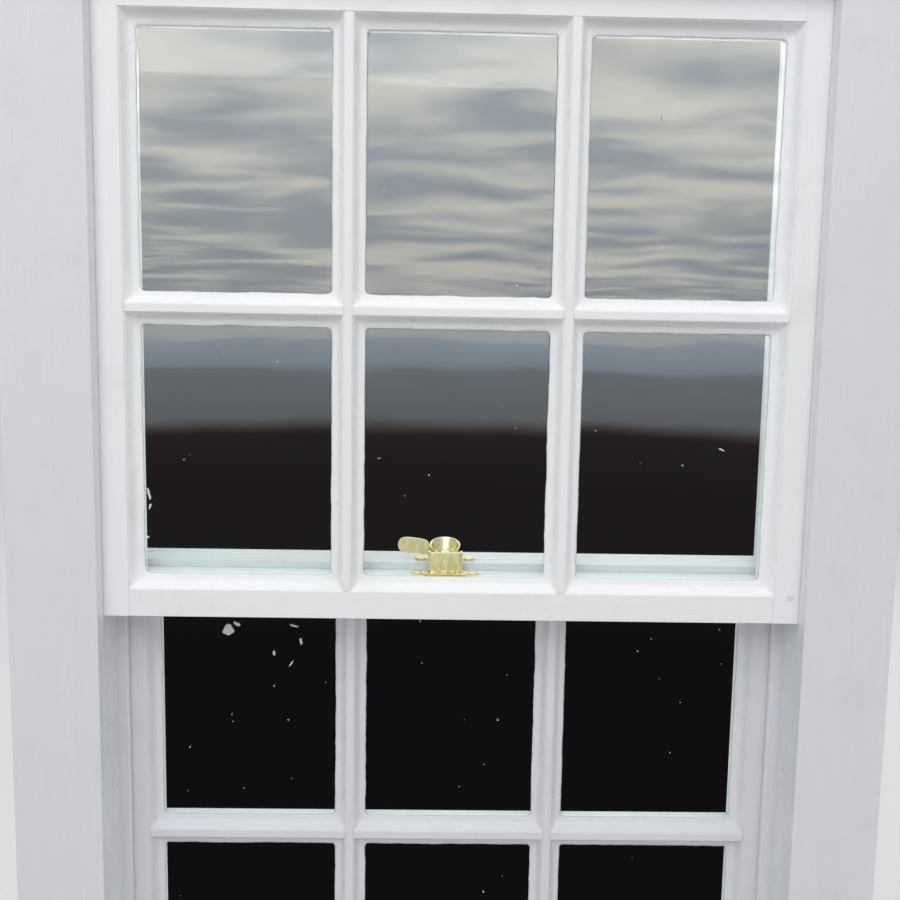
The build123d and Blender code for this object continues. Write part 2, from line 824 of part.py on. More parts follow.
# Cam fastener: a dished cam with a paddle lever and a lip that turns in behind the keep's hook
base_z = lower_top_z
pivot = (fastener_x, splay_y(lower_top_z) + meeting_gap + base_setback + base_width / 2)
hub_z = base_z + base_thickness + boss_height + cam_gap
lip_floor_z = hub_z + cam_lip_thickness
hook_z = lip_floor_z + hook_lift
lip_top_z = hook_z + hook_lap
keep_top_z = lip_top_z + keep_top_play + keep_wall
hook_back_y = upper_back_y + hook_overhang
cam_lip_inner = pivot[1] - hook_back_y + hook_thickness + cam_lip_play
cam_lip_outer = cam_lip_inner + cam_lip_wall
keep_inner_y = pivot[1] - cam_lip_outer - keep_front_play
cheek_back_y = upper_back_y - keep_cheek_setback
lip_half_chord = (cam_lip_outer**2 - (pivot[1] - cheek_back_y) ** 2) ** 0.5
keep_inner_half = lip_half_chord + keep_side_play
keep_y = upper_back_y - keep_width / 2


def fastener_plate(centre, z, length, width):
    """Add a plate with a rounded, countersunk lug at each end to the part being built."""
    reach = length / 2 - lug_radius
    with BuildSketch(Plane.XY.offset(z)) as shape:
        with Locations(centre):
            Rectangle(length - 4 * lug_radius, width)
            Rectangle(2 * reach, neck_width)
            with GridLocations(2 * reach, 1, 2, 1):
                Circle(lug_radius)
    extrude(shape.sketch, amount=base_thickness)
    with Locations((*centre, z + base_thickness)):
        with GridLocations(2 * reach, 1, 2, 1):
            CounterSinkHole(screw_radius, fastener_head_radius, depth=base_thickness)


with BuildPart() as cam_base:
    fastener_plate(pivot, base_z, base_length, base_width)
    with BuildSketch(Plane.XY.offset(base_z)):
        with Locations(pivot):
            Circle(boss_radius)
    extrude(amount=base_thickness + boss_height)
    with Locations((*pivot, base_z + base_thickness + boss_height)):
        Hole(rivet_radius, depth=base_thickness + boss_height)
save(cam_base.part, "cam_base")

dish_z = hub_z + cam_floor_thickness
dish_radius = cam_foot_radius - cam_wall
rim_z = dish_z + cam_depth
lever_y = pivot[1] - lever_offset
with BuildPart() as cam_lever:
    across_pivot = Plane(origin=(*pivot, 0), x_dir=(0, 1, 0), z_dir=(1, 0, 0))
    with BuildSketch(across_pivot):
        with BuildLine():
            Polyline(
                (rivet_radius + pin_play, hub_z),
                (cam_foot_radius, hub_z),
                (cam_rim_radius, rim_z),
                (cam_rim_radius - cam_wall, rim_z),
                (dish_radius, dish_z),
                (rivet_radius + pin_play, dish_z),
                close=True,
            )
        make_face()
    revolve(axis=Axis((*pivot, 0), (0, 0, 1)))
    rake = outline(
        across_pivot,
        (-cam_rim_radius, hub_z + cam_front_height),
        (cam_rim_radius, rim_z),
        (cam_rim_radius, rim_z + cam_depth),
        (-cam_rim_radius, rim_z + cam_depth),
    )
    extrude(rake, amount=cam_rim_radius, both=True, mode=Mode.SUBTRACT)

    tip_x = fastener_x - lever_reach
    root_x = fastener_x - lever_root
    bowl_x = fastener_x - cam_foot_radius
    lever_top_z = hub_z + lever_height
    lever_mid_z = hub_z + lever_height / 2
    with BuildSketch(upright(lever_y)):
        with BuildLine():
            tip_round = lever_height / 2
            Line((root_x, hub_z), (tip_x + tip_round, hub_z))
            ThreePointArc(
                (tip_x + tip_round, hub_z),
                (tip_x, lever_mid_z),
                (tip_x + tip_round, lever_top_z),
            )
            Spline(
                (tip_x + tip_round, lever_top_z),
                (bowl_x - tip_round, lever_top_z - lever_dip),
                (root_x, hub_z + cam_front_height - lever_dip / 2),
                tangents=((1, 0), (1, 0)),
            )
            Line((root_x, hub_z + cam_front_height - lever_dip / 2), (root_x, hub_z))
        make_face()
    extrude(amount=lever_thickness / 2, both=True)

    spread = radians(cam_lip_spread)
    lip_edge = (cam_lip_outer * sin(spread), cam_lip_outer * cos(spread))
    for inner, top_z in ((rivet_radius + pin_play, lip_floor_z), (cam_lip_inner, lip_top_z)):
        with BuildSketch(Plane(origin=(*pivot, hub_z))) as sector:
            with BuildLine():
                Line((0, 0), lip_edge)
                ThreePointArc(lip_edge, (0, cam_lip_outer), (-lip_edge[0], lip_edge[1]))
                Line((-lip_edge[0], lip_edge[1]), (0, 0))
            make_face()
            Circle(inner, mode=Mode.SUBTRACT)
        extrude(sector.sketch, amount=top_z - hub_z)
save(cam_lever.part, "cam_lever")

with BuildPart() as cam_rivet:
    with BuildSketch(Plane.XY.offset(base_z)):
        with Locations(pivot):
            Circle(rivet_radius)
    extrude(amount=dish_z + cam_gap - base_z)
    with BuildSketch(Plane.XY.offset(dish_z + cam_gap)):
        with Locations(pivot):
            Circle(rivet_head_radius)
    extrude(amount=rivet_head_height)
    fillet(cam_rivet.edges().group_by(Axis.Z)[-1], rivet_head_round)
save(cam_rivet.part, "cam_rivet")

with BuildPart() as keep:
    plate_centre = (fastener_x, keep_y)
    fastener_plate(plate_centre, upper_rail_top_z, keep_length, keep_width)
    front_y = keep_inner_y - keep_wall
    outer_half = keep_inner_half + keep_wall
    with BuildSketch(Plane.XY.offset(upper_rail_top_z)) as shell:
        with Locations((fastener_x, front_y)):
            Rectangle(2 * outer_half, cheek_back_y - front_y, align=(Align.CENTER, Align.MIN))
        fillet(shell.vertices().group_by(Axis.Y)[0], keep_corner)
    extrude(shell.sketch, amount=keep_top_z - upper_rail_top_z)
    inside_z = (upper_rail_top_z + base_thickness, keep_top_z)
    inside_x = around(fastener_x, keep_inner_half)
    block(inside_x, (keep_inner_y, cheek_back_y), inside_z, Mode.SUBTRACT)
    hook_x = around(fastener_x, hook_width / 2)
    block(hook_x, (keep_inner_y, hook_back_y), (keep_top_z - keep_wall, keep_top_z))
    block(hook_x, (hook_back_y - hook_thickness, hook_back_y), (hook_z, keep_top_z))
save(keep.part, "keep")
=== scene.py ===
"""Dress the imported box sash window: paint, putty, glass, cords, brass and a plain studio.

Everything is in metres in the CAD frame: X across the window, Y from the outside into the
room, Z up, with the origin under the middle of the sill.
"""

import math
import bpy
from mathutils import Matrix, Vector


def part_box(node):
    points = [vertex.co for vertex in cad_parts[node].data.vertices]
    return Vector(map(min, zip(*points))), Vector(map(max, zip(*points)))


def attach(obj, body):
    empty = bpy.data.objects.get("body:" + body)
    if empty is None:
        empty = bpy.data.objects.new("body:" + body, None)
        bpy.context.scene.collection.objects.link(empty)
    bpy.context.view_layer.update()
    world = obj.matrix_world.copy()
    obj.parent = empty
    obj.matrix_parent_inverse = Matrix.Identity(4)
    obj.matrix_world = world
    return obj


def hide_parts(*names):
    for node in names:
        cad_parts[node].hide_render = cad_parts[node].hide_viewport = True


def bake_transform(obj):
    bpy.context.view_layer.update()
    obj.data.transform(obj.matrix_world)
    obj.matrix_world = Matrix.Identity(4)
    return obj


bl_info = {
    "name": "Box Sash Window",
    "version": (1, 0, 0),
    "blender": (4, 5, 0),
    "location": "View3D > Sidebar > Sash Window",
    "description": "Dresses a timber box sash window and lights it in a plain studio",
    "category": "Object",
}

import bmesh
import bpy
import numpy as np
from bpy.props import FloatProperty, FloatVectorProperty, IntProperty, PointerProperty
from mathutils import Matrix, Vector, noise

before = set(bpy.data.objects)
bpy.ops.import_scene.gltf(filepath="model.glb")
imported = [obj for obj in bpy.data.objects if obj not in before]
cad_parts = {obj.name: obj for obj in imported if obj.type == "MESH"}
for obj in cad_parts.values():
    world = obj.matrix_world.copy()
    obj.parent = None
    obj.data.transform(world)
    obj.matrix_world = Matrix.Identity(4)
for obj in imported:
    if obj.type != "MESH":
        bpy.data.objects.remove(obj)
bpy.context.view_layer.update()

MM = 0.001
SASHES = ("upper", "lower")
SIDES = {"left": -1, "right": 1}

# Smooth pieces stay crisp, and timber and castings are rounded, at edges that turn by more
CRISP_EDGE = math.radians(50)
ROUNDED_EDGE = math.radians(38)
WELD_REACH = 0.00001
BRASS_ARRIS = 0.45 * MM

# Members of the case and of each sash by the way their grain and brush marks run
CASE_UPRIGHT = (
    "pulley_stile_left", "pulley_stile_right", "pocket_piece_left", "pocket_piece_right",
    "outer_lining_left", "outer_lining_right", "inner_lining_left", "inner_lining_right",
    "parting_bead_left", "parting_bead_right", "staff_bead_left", "staff_bead_right",
)
CASE_ACROSS = (
    "sill", "head", "outer_lining_head", "inner_lining_head", "parting_bead_head",
    "staff_bead_head", "staff_bead_sill",
)
CASE_BARE = ("back_linings", "mid_feathers")
# Which paint each sash wears: the upper sash's lighter white is painted light, and the darker
# white of the lower sash and the case is painted shade
COATS = {"upper": "lit_paint", "lower": "paint"}
SASH_UPRIGHT = ("stile_left", "stile_right", "upright_bars")
SASH_ACROSS = {
    "upper": ("top_rail", "meeting_rail", "cross_bars"),
    "lower": ("bottom_rail", "meeting_rail", "cross_bars"),
}


def length(name, description, default, low, high):
    """A size that the user may change, given here in millimetres."""
    return FloatProperty(name=name, description=description, default=default * MM,
                         min=low * MM, max=high * MM, unit="LENGTH")


def swatch(name, description, default):
    """A colour that the user may change, in linear light."""
    return FloatVectorProperty(name=name, description=description, default=default,
                               subtype="COLOR", min=0, max=1)


class SashWindowSizes(bpy.types.PropertyGroup):
    """Sizes of the pieces that dress the CAD model."""

    arris_round: length(
        "Arris round", "Width of the worn and painted-over timber edges", 1.3, 0.2, 3)
    putty_ripple: length(
        "Putty ripple", "How far the knife's line wanders on the glass", 0.95, 0, 3)
    putty_step: length("Putty step", "Length of one stretch of modelled putty", 4, 1, 20)
    putty_corner: length(
        "Putty corner", "Radius that the knife leaves in a pane's corner", 4.5, 1, 12)
    paint_lap: length(
        "Paint lap", "Width of the paint line that seals putty to glass", 1.2, 0, 3)
    glass_play: length("Glass play", "Gap between a pane's edge and its rebate", 2.5, 0, 5)
    frame_rebate: length("Frame rebate", "Width of the rebate in stiles and rails", 12, 5, 20)
    bar_rebate: length(
        "Bar rebate", "Width of the rebate on each side of a glazing bar", 11, 5, 20)
    specks: IntProperty(
        name="Specks", description="Tiny specks of paint on each pane", default=7, min=0,
        max=60,
    )
    cord_radius: length("Cord radius", "Radius of the braided sash cord", 3, 1, 5)
    cord_bend: length(
        "Cord bend", "Radius of the cord's middle line round a wheel", 25.8, 10, 50)
    cord_braid: length("Cord braid", "Length of one turn of the cord's braid", 16, 4, 40)
    cord_sides: IntProperty(
        name="Cord sides", description="Faces round a cord", default=14, min=6, max=32,
    )
    knot_radius: length("Knot radius", "Reach of the stopper knot in a stile's hole", 4.6, 2, 8)
    screw_slot: length("Screw slot", "Width of a screw's driving slot", 0.9, 0.3, 2)


class SashWindowColours(bpy.types.PropertyGroup):
    """Colours of the finishes, all in linear light."""

    # The two whites stand for light and shade, not two coats: painted shade on the case and the
    # lower sash, painted light on the upper sash
    paint: swatch(
        "Paint", "White gloss paint on the case and the lower sash", (0.77, 0.775, 0.815))
    lit_paint: swatch(
        "Fresh paint", "Newer white gloss paint on the upper sash", (0.92, 0.925, 0.945))
    grime: swatch("Grime", "Dirt that settles in corners and on ledges", (0.42, 0.41, 0.39))
    rust: swatch("Rust", "Stain that bleeds from a sprig", (0.36, 0.13, 0.045))
    softwood: swatch("Softwood", "Bare pine inside the boxes", (0.66, 0.48, 0.29))
    brass: swatch("Brass", "Polished brass of the fastener", (0.85, 0.72, 0.42))
    iron: swatch("Cast iron", "Dark iron of the weights", (0.075, 0.07, 0.068))
    steel: swatch("Steel", "Pins and plain screws", (0.50, 0.49, 0.48))
    cord: swatch("Cord", "Waxed cotton sash cord", (0.62, 0.56, 0.44))
    glass: swatch("Glass", "Faint green of window glass", (0.91, 0.97, 0.95))
    glass_shade: swatch(
        "Glass shade", "Light that each face of a dusty pane lets through", (0.80, 0.86, 0.86))
    floor: swatch("Floor", "Plain pale studio floor", (0.80, 0.80, 0.80))
    # Painted shade: the dark of the unlit room behind the window, on a faintly glowing card
    room: swatch(
        "Room", "Dark card that is seen only through the glass", (0.0062, 0.0052, 0.0060))


class SashWindowStudio(bpy.types.PropertyGroup):
    """The camera, the lamps and the sky that the panes mirror."""

    camera_place: FloatVectorProperty(
        name="Camera place", description="Where the camera stands", subtype="TRANSLATION",
        default=(-0.0243, -0.9485, 0.9637),
    )
    camera_turn: FloatVectorProperty(
        name="Camera turn", description="The camera's angles about X, Y and Z",
        subtype="EULER", default=(1.45591209, -0.01716513, -0.01683122),
    )
    camera_lens: FloatProperty(
        name="Camera lens", description="Focal length for a 36 mm sensor, in millimetres",
        default=39.4, min=10, max=200,
    )
    front_light: FloatProperty(
        name="Front light", description="Power of the large soft lamp before the window",
        default=24.0, min=0, max=1000, unit="POWER",
    )
    back_light: FloatProperty(
        name="Back light", description="Power of the soft lamp on the room side",
        default=16.0, min=0, max=1000, unit="POWER",
    )
    sky_light: FloatProperty(
        name="Sky light", description="Strength of the light from above", default=0.74,
        min=0, max=4,
    )
    ground_light: FloatProperty(
        name="Ground light", description="Strength of the light from below", default=0.34,
        min=0, max=4,
    )
    mirrored_sky: FloatProperty(
        name="Mirrored sky", description="Strength of the sky that smooth glass mirrors",
        default=6.2, min=0, max=20,
    )


def sizes():
    """The sizes that the user may change."""
    return bpy.context.scene.sash_window_sizes


def colours():
    """The colours that the user may change."""
    return bpy.context.scene.sash_window_colours


def studio():
    """The studio settings that the user may change."""
    return bpy.context.scene.sash_window_studio


# Meshes

def new_piece(name, verts, faces, finish, smooth=True, turn_out=True):
    """Add a mesh made from plain lists, with one material, its faces turned outwards."""
    mesh = bpy.data.meshes.new(name)
    mesh.from_pydata([tuple(v) for v in verts], [], faces)
    if turn_out:
        shell = bmesh.new()
        shell.from_mesh(mesh)
        bmesh.ops.recalc_face_normals(shell, faces=shell.faces)
        shell.to_mesh(mesh)
        shell.free()
    mesh.materials.append(finish)
    mesh.polygons.foreach_set("use_smooth", [smooth] * len(mesh.polygons))
    if smooth:
        mesh.set_sharp_from_angle(angle=CRISP_EDGE)
    piece = bpy.data.objects.new(name, mesh)
    bpy.context.scene.collection.objects.link(piece)
    return piece


def joined(parts):
    """Join several (verts, faces) pairs into one."""
    verts, faces = [], []
    for part_verts, part_faces in parts:
        start = len(verts)
        verts.extend(part_verts)
        faces.extend(tuple(start + i for i in face) for face in part_faces)
    return verts, faces


def lathe(profile, place, turn, sides=32):
    """Turn a closed (radius, height) profile, which may change with the angle, about Z."""
    verts, faces = [], []
    count = len(profile(0))
    for step in range(sides):
        angle = 2 * math.pi * step / sides
        for radius, height in profile(angle):
            spot = Vector((radius * math.cos(angle), radius * math.sin(angle), height))
            verts.append(place + turn @ spot)
    for step in range(sides):
        near, far = step * count, (step + 1) % sides * count
        for i in range(count):
            j = (i + 1) % count
            faces.append((near + i, far + i, far + j, near + j))
    return verts, faces


def smooth_outline(points, steps=5):
    """A closed curve through the points, as a denser list (Catmull-Rom)."""
    dense = []
    count = len(points)
    for i in range(count):
        a, b, c, d = (Vector(points[(i + k) % count]) for k in (-1, 0, 1, 2))
        for step in range(steps):
            t = step / steps
            dense.append(0.5 * (2 * b + (c - a) * t + (2 * a - 5 * b + 4 * c - d) * t * t
                                + (3 * b - a - 3 * c + d) * t ** 3))
    return dense


def slab(near, far):
    """A closed body between two rings of the same number of points."""
    count = len(near)
    faces = [tuple(range(count)), tuple(range(2 * count - 1, count - 1, -1))]
    faces += [(i, (i + 1) % count, count + (i + 1) % count, count + i) for i in range(count)]
    return list(near) + list(far), faces


def tube(points, radius, sides, closed=False):
    """A round tube along points, untwisted, with the turn and run at each face's corners."""
    points = [Vector(p) for p in points]
    count = len(points)
    verts, faces, corners = [], [], []
    ahead = [(points[(i + 1) % count] - points[i - 1]) for i in range(count)]
    if not closed:
        ahead[0], ahead[-1] = points[1] - points[0], points[-1] - points[-2]
    side = ahead[0].orthogonal().normalized()
    runs = [0.0]
    for i, (point, heading) in enumerate(zip(points, ahead)):
        heading = heading.normalized()
        side = (side - heading * side.dot(heading)).normalized()
        up = heading.cross(side)
        for turn in range(sides):
            angle = 2 * math.pi * turn / sides
            verts.append(point + radius * (math.cos(angle) * side + math.sin(angle) * up))
        runs.append(runs[-1] + (points[(i + 1) % count] - point).length)
    for ring in range(count if closed else count - 1):
        near, far = ring * sides, (ring + 1) % count * sides
        for i in range(sides):
            j = (i + 1) % sides
            faces.append((near + i, near + j, far + j, far + i))
            ends = ((i, ring), (i + 1, ring), (i + 1, ring + 1), (i, ring + 1))
            corners.append([(turn / sides, runs[end]) for turn, end in ends])
    if not closed:
        faces.append(tuple(reversed(range(sides))))
        faces.append(tuple((count - 1) * sides + i for i in range(sides)))
        corners += [[(0, 0)] * sides, [(0, runs[count - 1])] * sides]
    return verts, faces, corners


def braided(name, routes, closed=False):
    """One piece of sash cord for each route, with the map that its braid pattern reads."""
    tubes = [tube(route, sizes().cord_radius, sizes().cord_sides, closed) for route in routes]
    verts, faces = joined([part[:2] for part in tubes])
    piece = new_piece(name, verts, faces, finish_named("sash_cord"), turn_out=False)
    layer = piece.data.uv_layers.new(name="Braid")
    flat = [uv for part in tubes for face in part[2] for uv in face]
    for loop, (turn, run) in zip(layer.data, flat):
        loop.uv = (turn, run / sizes().cord_braid)
    return piece


def slotted_head(place, out, radius, slot, turn):
    """A countersunk screw head whose top lies at place and faces along out."""
    frame_turn = Vector(out).to_track_quat("Z", "Y").to_matrix() @ Matrix.Rotation(turn, 3, "Z")
    parts = []
    depth = 0.45 * radius
    crown = 0.06 * radius
    half = slot / 2
    steps = 14
    for hand in (1, -1):
        start = math.asin(half / radius)
        rim = [start + (math.pi - 2 * start) * i / steps for i in range(steps + 1)]
        top = [(radius * math.cos(a), hand * radius * math.sin(a)) for a in rim]
        inner = [(0.9 * x, hand * max(half, 0.9 * abs(y))) for x, y in top]
        verts = [Vector((x, y, -depth)) for x, y in top]
        verts += [Vector((x, y, -crown)) for x, y in top]
        verts += [Vector((x, y, 0)) for x, y in inner]
        count = len(top)
        faces = [tuple(range(2 * count, 3 * count))]
        for level in (0, 1):
            for i in range(count - 1):
                a = level * count + i
                faces.append((a, a + 1, a + 1 + count, a + count))
            faces.append((level * count + count - 1, level * count,
                          (level + 1) * count, (level + 2) * count - 1))
        if hand < 0:
            faces = [tuple(reversed(face)) for face in faces]
        parts.append(([place + frame_turn @ v for v in verts],
                      [tuple(reversed(face)) for face in faces]))
    bowl = [(0, -depth), (radius, -depth), (0.55 * radius, -1.6 * depth), (0, -1.6 * depth)]
    parts.append(lathe(lambda angle: [(r + 1e-5, h) for r, h in bowl], place, frame_turn, 20))
    return joined(parts)


# Materials

def feed(tree, node, inputs):
    """Fill a node's inputs: a socket is linked, any other value is set."""
    for key, value in inputs.items():
        if isinstance(value, bpy.types.NodeSocket):
            tree.links.new(value, node.inputs[key])
        else:
            node.inputs[key].default_value = value
    return node


def add_node(tree, kind, inputs=None, **settings):
    """Add a shader node with its settings and inputs."""
    made = tree.nodes.new("ShaderNode" + kind)
    for key, value in settings.items():
        setattr(made, key, value)
    return feed(tree, made, inputs or {})


def new_group(name, inputs, outputs):
    """A shader node group with its named sockets, and its two end nodes."""
    group = bpy.data.node_groups.new(name, "ShaderNodeTree")
    for way, sockets in (("INPUT", inputs), ("OUTPUT", outputs)):
        for socket_name, kind, *default in sockets:
            made = group.interface.new_socket(
                name=socket_name, in_out=way, socket_type="NodeSocket" + kind)
            if default:
                made.default_value = default[0]
    return group, group.nodes.new("NodeGroupInput"), group.nodes.new("NodeGroupOutput")


def use_group(tree, name, inputs):
    """Place a shared effect in a material."""
    return add_node(tree, "Group", inputs, node_tree=bpy.data.node_groups[name])


def patches(tree, vector, scale, low, high):
    """The mask of soft-edged patches that appear where their noise lies between two levels."""
    return use_group(tree, "Patches", {
        "Vector": vector, "Scale": scale, "Low": low, "High": high}).outputs["Mask"]


def mapped(tree, scale, offset=(0, 0, 0)):
    """Object coordinates stretched by scale, so a pattern can run along the grain."""
    spot = add_node(tree, "TexCoord")
    return add_node(tree, "Mapping", {
        "Vector": spot.outputs["Object"], "Scale": scale, "Location": offset,
    }).outputs["Vector"]


def ramp(tree, value, low, high, out_low=0.0, out_high=1.0):
    """Map a value smoothly from one range to another."""
    return add_node(tree, "MapRange", {
        "Value": value, "From Min": low, "From Max": high, "To Min": out_low,
        "To Max": out_high}, interpolation_type="SMOOTHSTEP").outputs["Result"]


def mix_colour(tree, share, first, second):
    """Blend two colours, each a colour or a socket."""
    first, second = (value if isinstance(value, bpy.types.NodeSocket) else (*value, 1)
                     for value in (first, second))
    return add_node(tree, "Mix", {"Factor": share, 6: first, 7: second},
                    data_type="RGBA").outputs[2]


def sums(tree, kind, first, second):
    """One Math node's result."""
    return add_node(tree, "Math", {0: first, 1: second}, operation=kind).outputs[0]


def wash(tree, mask, strength, colour, over):
    """Lay a colour over another where the mask is, at no more than strength."""
    return mix_colour(tree, sums(tree, "MULTIPLY", mask, strength), colour, over)


def coat(tree, shader, colour, roughness):
    """Give a shader its colour and roughness."""
    tree.links.new(colour, shader.inputs["Base Color"])
    tree.links.new(roughness, shader.inputs["Roughness"])


def emboss(tree, shader, height, depth, edge=None):
    """Give a shader its relief, on top of an edge's softened normal if there is one."""
    relief = add_node(tree, "Bump", {"Height": height, "Distance": depth})
    if edge is not None:
        tree.links.new(edge.outputs["Normal"], relief.inputs["Normal"])
    tree.links.new(relief.outputs["Normal"], shader.inputs["Normal"])


def show(tree, surface):
    """Send a material's final shader to its output."""
    out = next(node for node in tree.nodes if node.type == "OUTPUT_MATERIAL")
    tree.links.new(surface.outputs[0], out.inputs["Surface"])


def build_groups():
    """Make the effects that several finishes share."""
    tree, given, result = new_group(
        "Brush Marks",
        (("Vector", "Vector"), ("Bristle Scale", "Float", 900.0),
         ("Ridge Scale", "Float", 160.0)),
        (("Height", "Float"), ("Streaks", "Float")),
    )
    bristle = add_node(tree, "TexNoise", {
        "Vector": given.outputs["Vector"], "Scale": given.outputs["Bristle Scale"],
        "Detail": 2.0})
    ridge = add_node(tree, "TexNoise", {
        "Vector": given.outputs["Vector"], "Scale": given.outputs["Ridge Scale"], "Detail": 2.0,
        "Roughness": 0.45, "Distortion": 0.15})
    fine = sums(tree, "MULTIPLY", bristle.outputs["Fac"], 0.22)
    tree.links.new(sums(tree, "ADD", ridge.outputs["Fac"], fine), result.inputs["Height"])
    tree.links.new(ramp(tree, ridge.outputs["Fac"], 0.35, 0.68), result.inputs["Streaks"])

    tree, given, result = new_group(
        "Patches",
        (("Vector", "Vector"), ("Scale", "Float", 8.0), ("Low", "Float", 0.5),
         ("High", "Float", 0.7)),
        (("Mask", "Float"),),
    )
    cloud = add_node(tree, "TexNoise", {
        "Vector": given.outputs["Vector"], "Scale": given.outputs["Scale"], "Detail": 6.0,
        "Roughness": 0.6})
    tree.links.new(
        ramp(tree, cloud.outputs["Fac"], given.outputs["Low"], given.outputs["High"]),
        result.inputs["Mask"])

    tree, given, result = new_group(
        "Soft Edge", (("Radius", "Float", MM),), (("Normal", "Vector"), ("Mask", "Float")))
    rounded = add_node(tree, "Bevel", {"Radius": given.outputs["Radius"]}, samples=4)
    shape = add_node(tree, "NewGeometry")
    likeness = add_node(tree, "VectorMath", {
        0: rounded.outputs["Normal"], 1: shape.outputs["Normal"]}, operation="DOT_PRODUCT")
    tree.links.new(rounded.outputs["Normal"], result.inputs["Normal"])
    tree.links.new(ramp(tree, likeness.outputs["Value"], 0.995, 0.90), result.inputs["Mask"])

    tree, given, result = new_group(
        "Spot Stain",
        (("Vector", "Vector"), ("Centre", "Vector"), ("Reach", "Float", 0.01)),
        (("Mask", "Float"),),
    )
    wander = add_node(tree, "TexNoise", {
        "Vector": given.outputs["Vector"], "Scale": 260.0, "Detail": 4.0})
    gap = add_node(tree, "VectorMath", {
        0: given.outputs["Vector"], 1: given.outputs["Centre"]}, operation="DISTANCE")
    near = sums(tree, "DIVIDE", gap.outputs["Value"], given.outputs["Reach"])
    rough = sums(tree, "ADD", near, sums(tree, "MULTIPLY", wander.outputs["Fac"], 0.9))
    tree.links.new(ramp(tree, rough, 1.45, 0.75), result.inputs["Mask"])


def new_finish(name):
    """An empty material with its shader."""
    finish = bpy.data.materials.new(name)
    finish.use_nodes = True
    return finish, finish.node_tree, finish.node_tree.nodes["Principled BSDF"]


def paint_finish(name, paint, stretch, seed, bump=0.16 * MM):
    """White gloss paint laid on with a brush along the member, its relief bump deep."""
    finish, tree, shader = new_finish(name)
    plain = mapped(tree, (1, 1, 1), (seed, seed, seed))
    along = mapped(tree, stretch, (seed, 0, seed))
    brush = use_group(tree, "Brush Marks", {
        "Vector": along, "Bristle Scale": 750.0, "Ridge Scale": 130.0})
    edge = use_group(tree, "Soft Edge", {"Radius": 0.9 * MM})
    grime = patches(tree, plain, scale=14.0, low=0.5, high=0.8)
    specks = patches(tree, plain, scale=190.0, low=0.74, high=0.8)
    hue = patches(tree, plain, scale=2.6, low=0.3, high=0.7)
    warmer = (paint[0] * 0.985, paint[1] * 0.975, paint[2] * 0.95)
    streaked = tuple(0.93 * c for c in paint)
    painted_edge_highlight = tuple(min(1, 1.06 * c) for c in paint)
    colour = wash(tree, hue, 0.8, paint, warmer)
    colour = wash(tree, brush.outputs["Streaks"], 0.2, colour, streaked)
    colour = wash(tree, grime, 0.16, colour, colours().grime)
    colour = wash(tree, specks, 0.35, colour, colours().grime)
    # Painted highlight: the paint's colour is lightened along the rounded arrises
    colour = wash(tree, edge.outputs["Mask"], 0.35, colour, painted_edge_highlight)
    gloss = ramp(tree, brush.outputs["Height"], 0.3, 0.9, 0.24, 0.36)
    dulled = sums(tree, "ADD", gloss, sums(tree, "MULTIPLY", grime, 0.2))
    coat(tree, shader, colour, dulled)
    lumps = add_node(tree, "TexNoise", {"Vector": plain, "Scale": 85.0, "Detail": 3.0})
    height = sums(tree, "ADD", brush.outputs["Height"],
                  sums(tree, "MULTIPLY", lumps.outputs["Fac"], 2.2))
    emboss(tree, shader, height, bump, edge)
    return finish


def stained_paint_finish(name, stretch, seed, bump, centre):
    """The upper sash's lighter paint, which is painted light, with a small rust stain bleeding
    through it at centre.
    """
    finish = paint_finish(name, colours().lit_paint, stretch, seed, bump)
    tree = finish.node_tree
    shader = tree.nodes["Principled BSDF"]
    spot = use_group(tree, "Spot Stain", {
        "Vector": mapped(tree, (1, 1, 1)), "Centre": centre, "Reach": 6 * MM})
    below = shader.inputs["Base Color"].links[0].from_socket
    tree.links.new(mix_colour(tree, spot.outputs["Mask"], below, colours().rust),
                   shader.inputs["Base Color"])


def dab_finish():
    """Splashes of paint on glass: chalky, with dirt in their hollows."""
    _, tree, shader = new_finish("paint_dab")
    patch = patches(tree, mapped(tree, (1, 1, 1)), scale=320.0, low=0.45, high=0.7)
    soiled = tuple(0.72 * c for c in colours().paint)
    coat(tree, shader, mix_colour(tree, patch, colours().paint, soiled),
         ramp(tree, patch, 0.0, 1.0, 0.45, 0.7))


def softwood_finish():
    """Bare sawn pine with upright grain."""
    _, tree, shader = new_finish("sawn_pine")
    along = mapped(tree, (1, 1, 0.045))
    rings = add_node(tree, "TexNoise", {
        "Vector": along, "Scale": 190.0, "Detail": 6.0, "Roughness": 0.65, "Distortion": 0.6})
    saw = use_group(tree, "Brush Marks", {
        "Vector": mapped(tree, (0.2, 0.2, 1)), "Bristle Scale": 900.0, "Ridge Scale": 240.0})
    wood = colours().softwood
    dark = (0.56 * wood[0], 0.46 * wood[1], 0.36 * wood[2])
    board = patches(tree, mapped(tree, (1, 1, 0.12)), scale=16.0, low=0.3, high=0.7)
    warm = mix_colour(tree, board, wood, tuple(0.8 * c for c in wood))
    colour = mix_colour(tree, ramp(tree, rings.outputs["Fac"], 0.44, 0.62), warm, dark)
    coat(tree, shader, colour, ramp(tree, rings.outputs["Fac"], 0.2, 0.8, 0.62, 0.8))
    height = sums(tree, "ADD", rings.outputs["Fac"],
                  sums(tree, "MULTIPLY", saw.outputs["Height"], 0.8))
    emboss(tree, shader, height, 0.3 * MM)


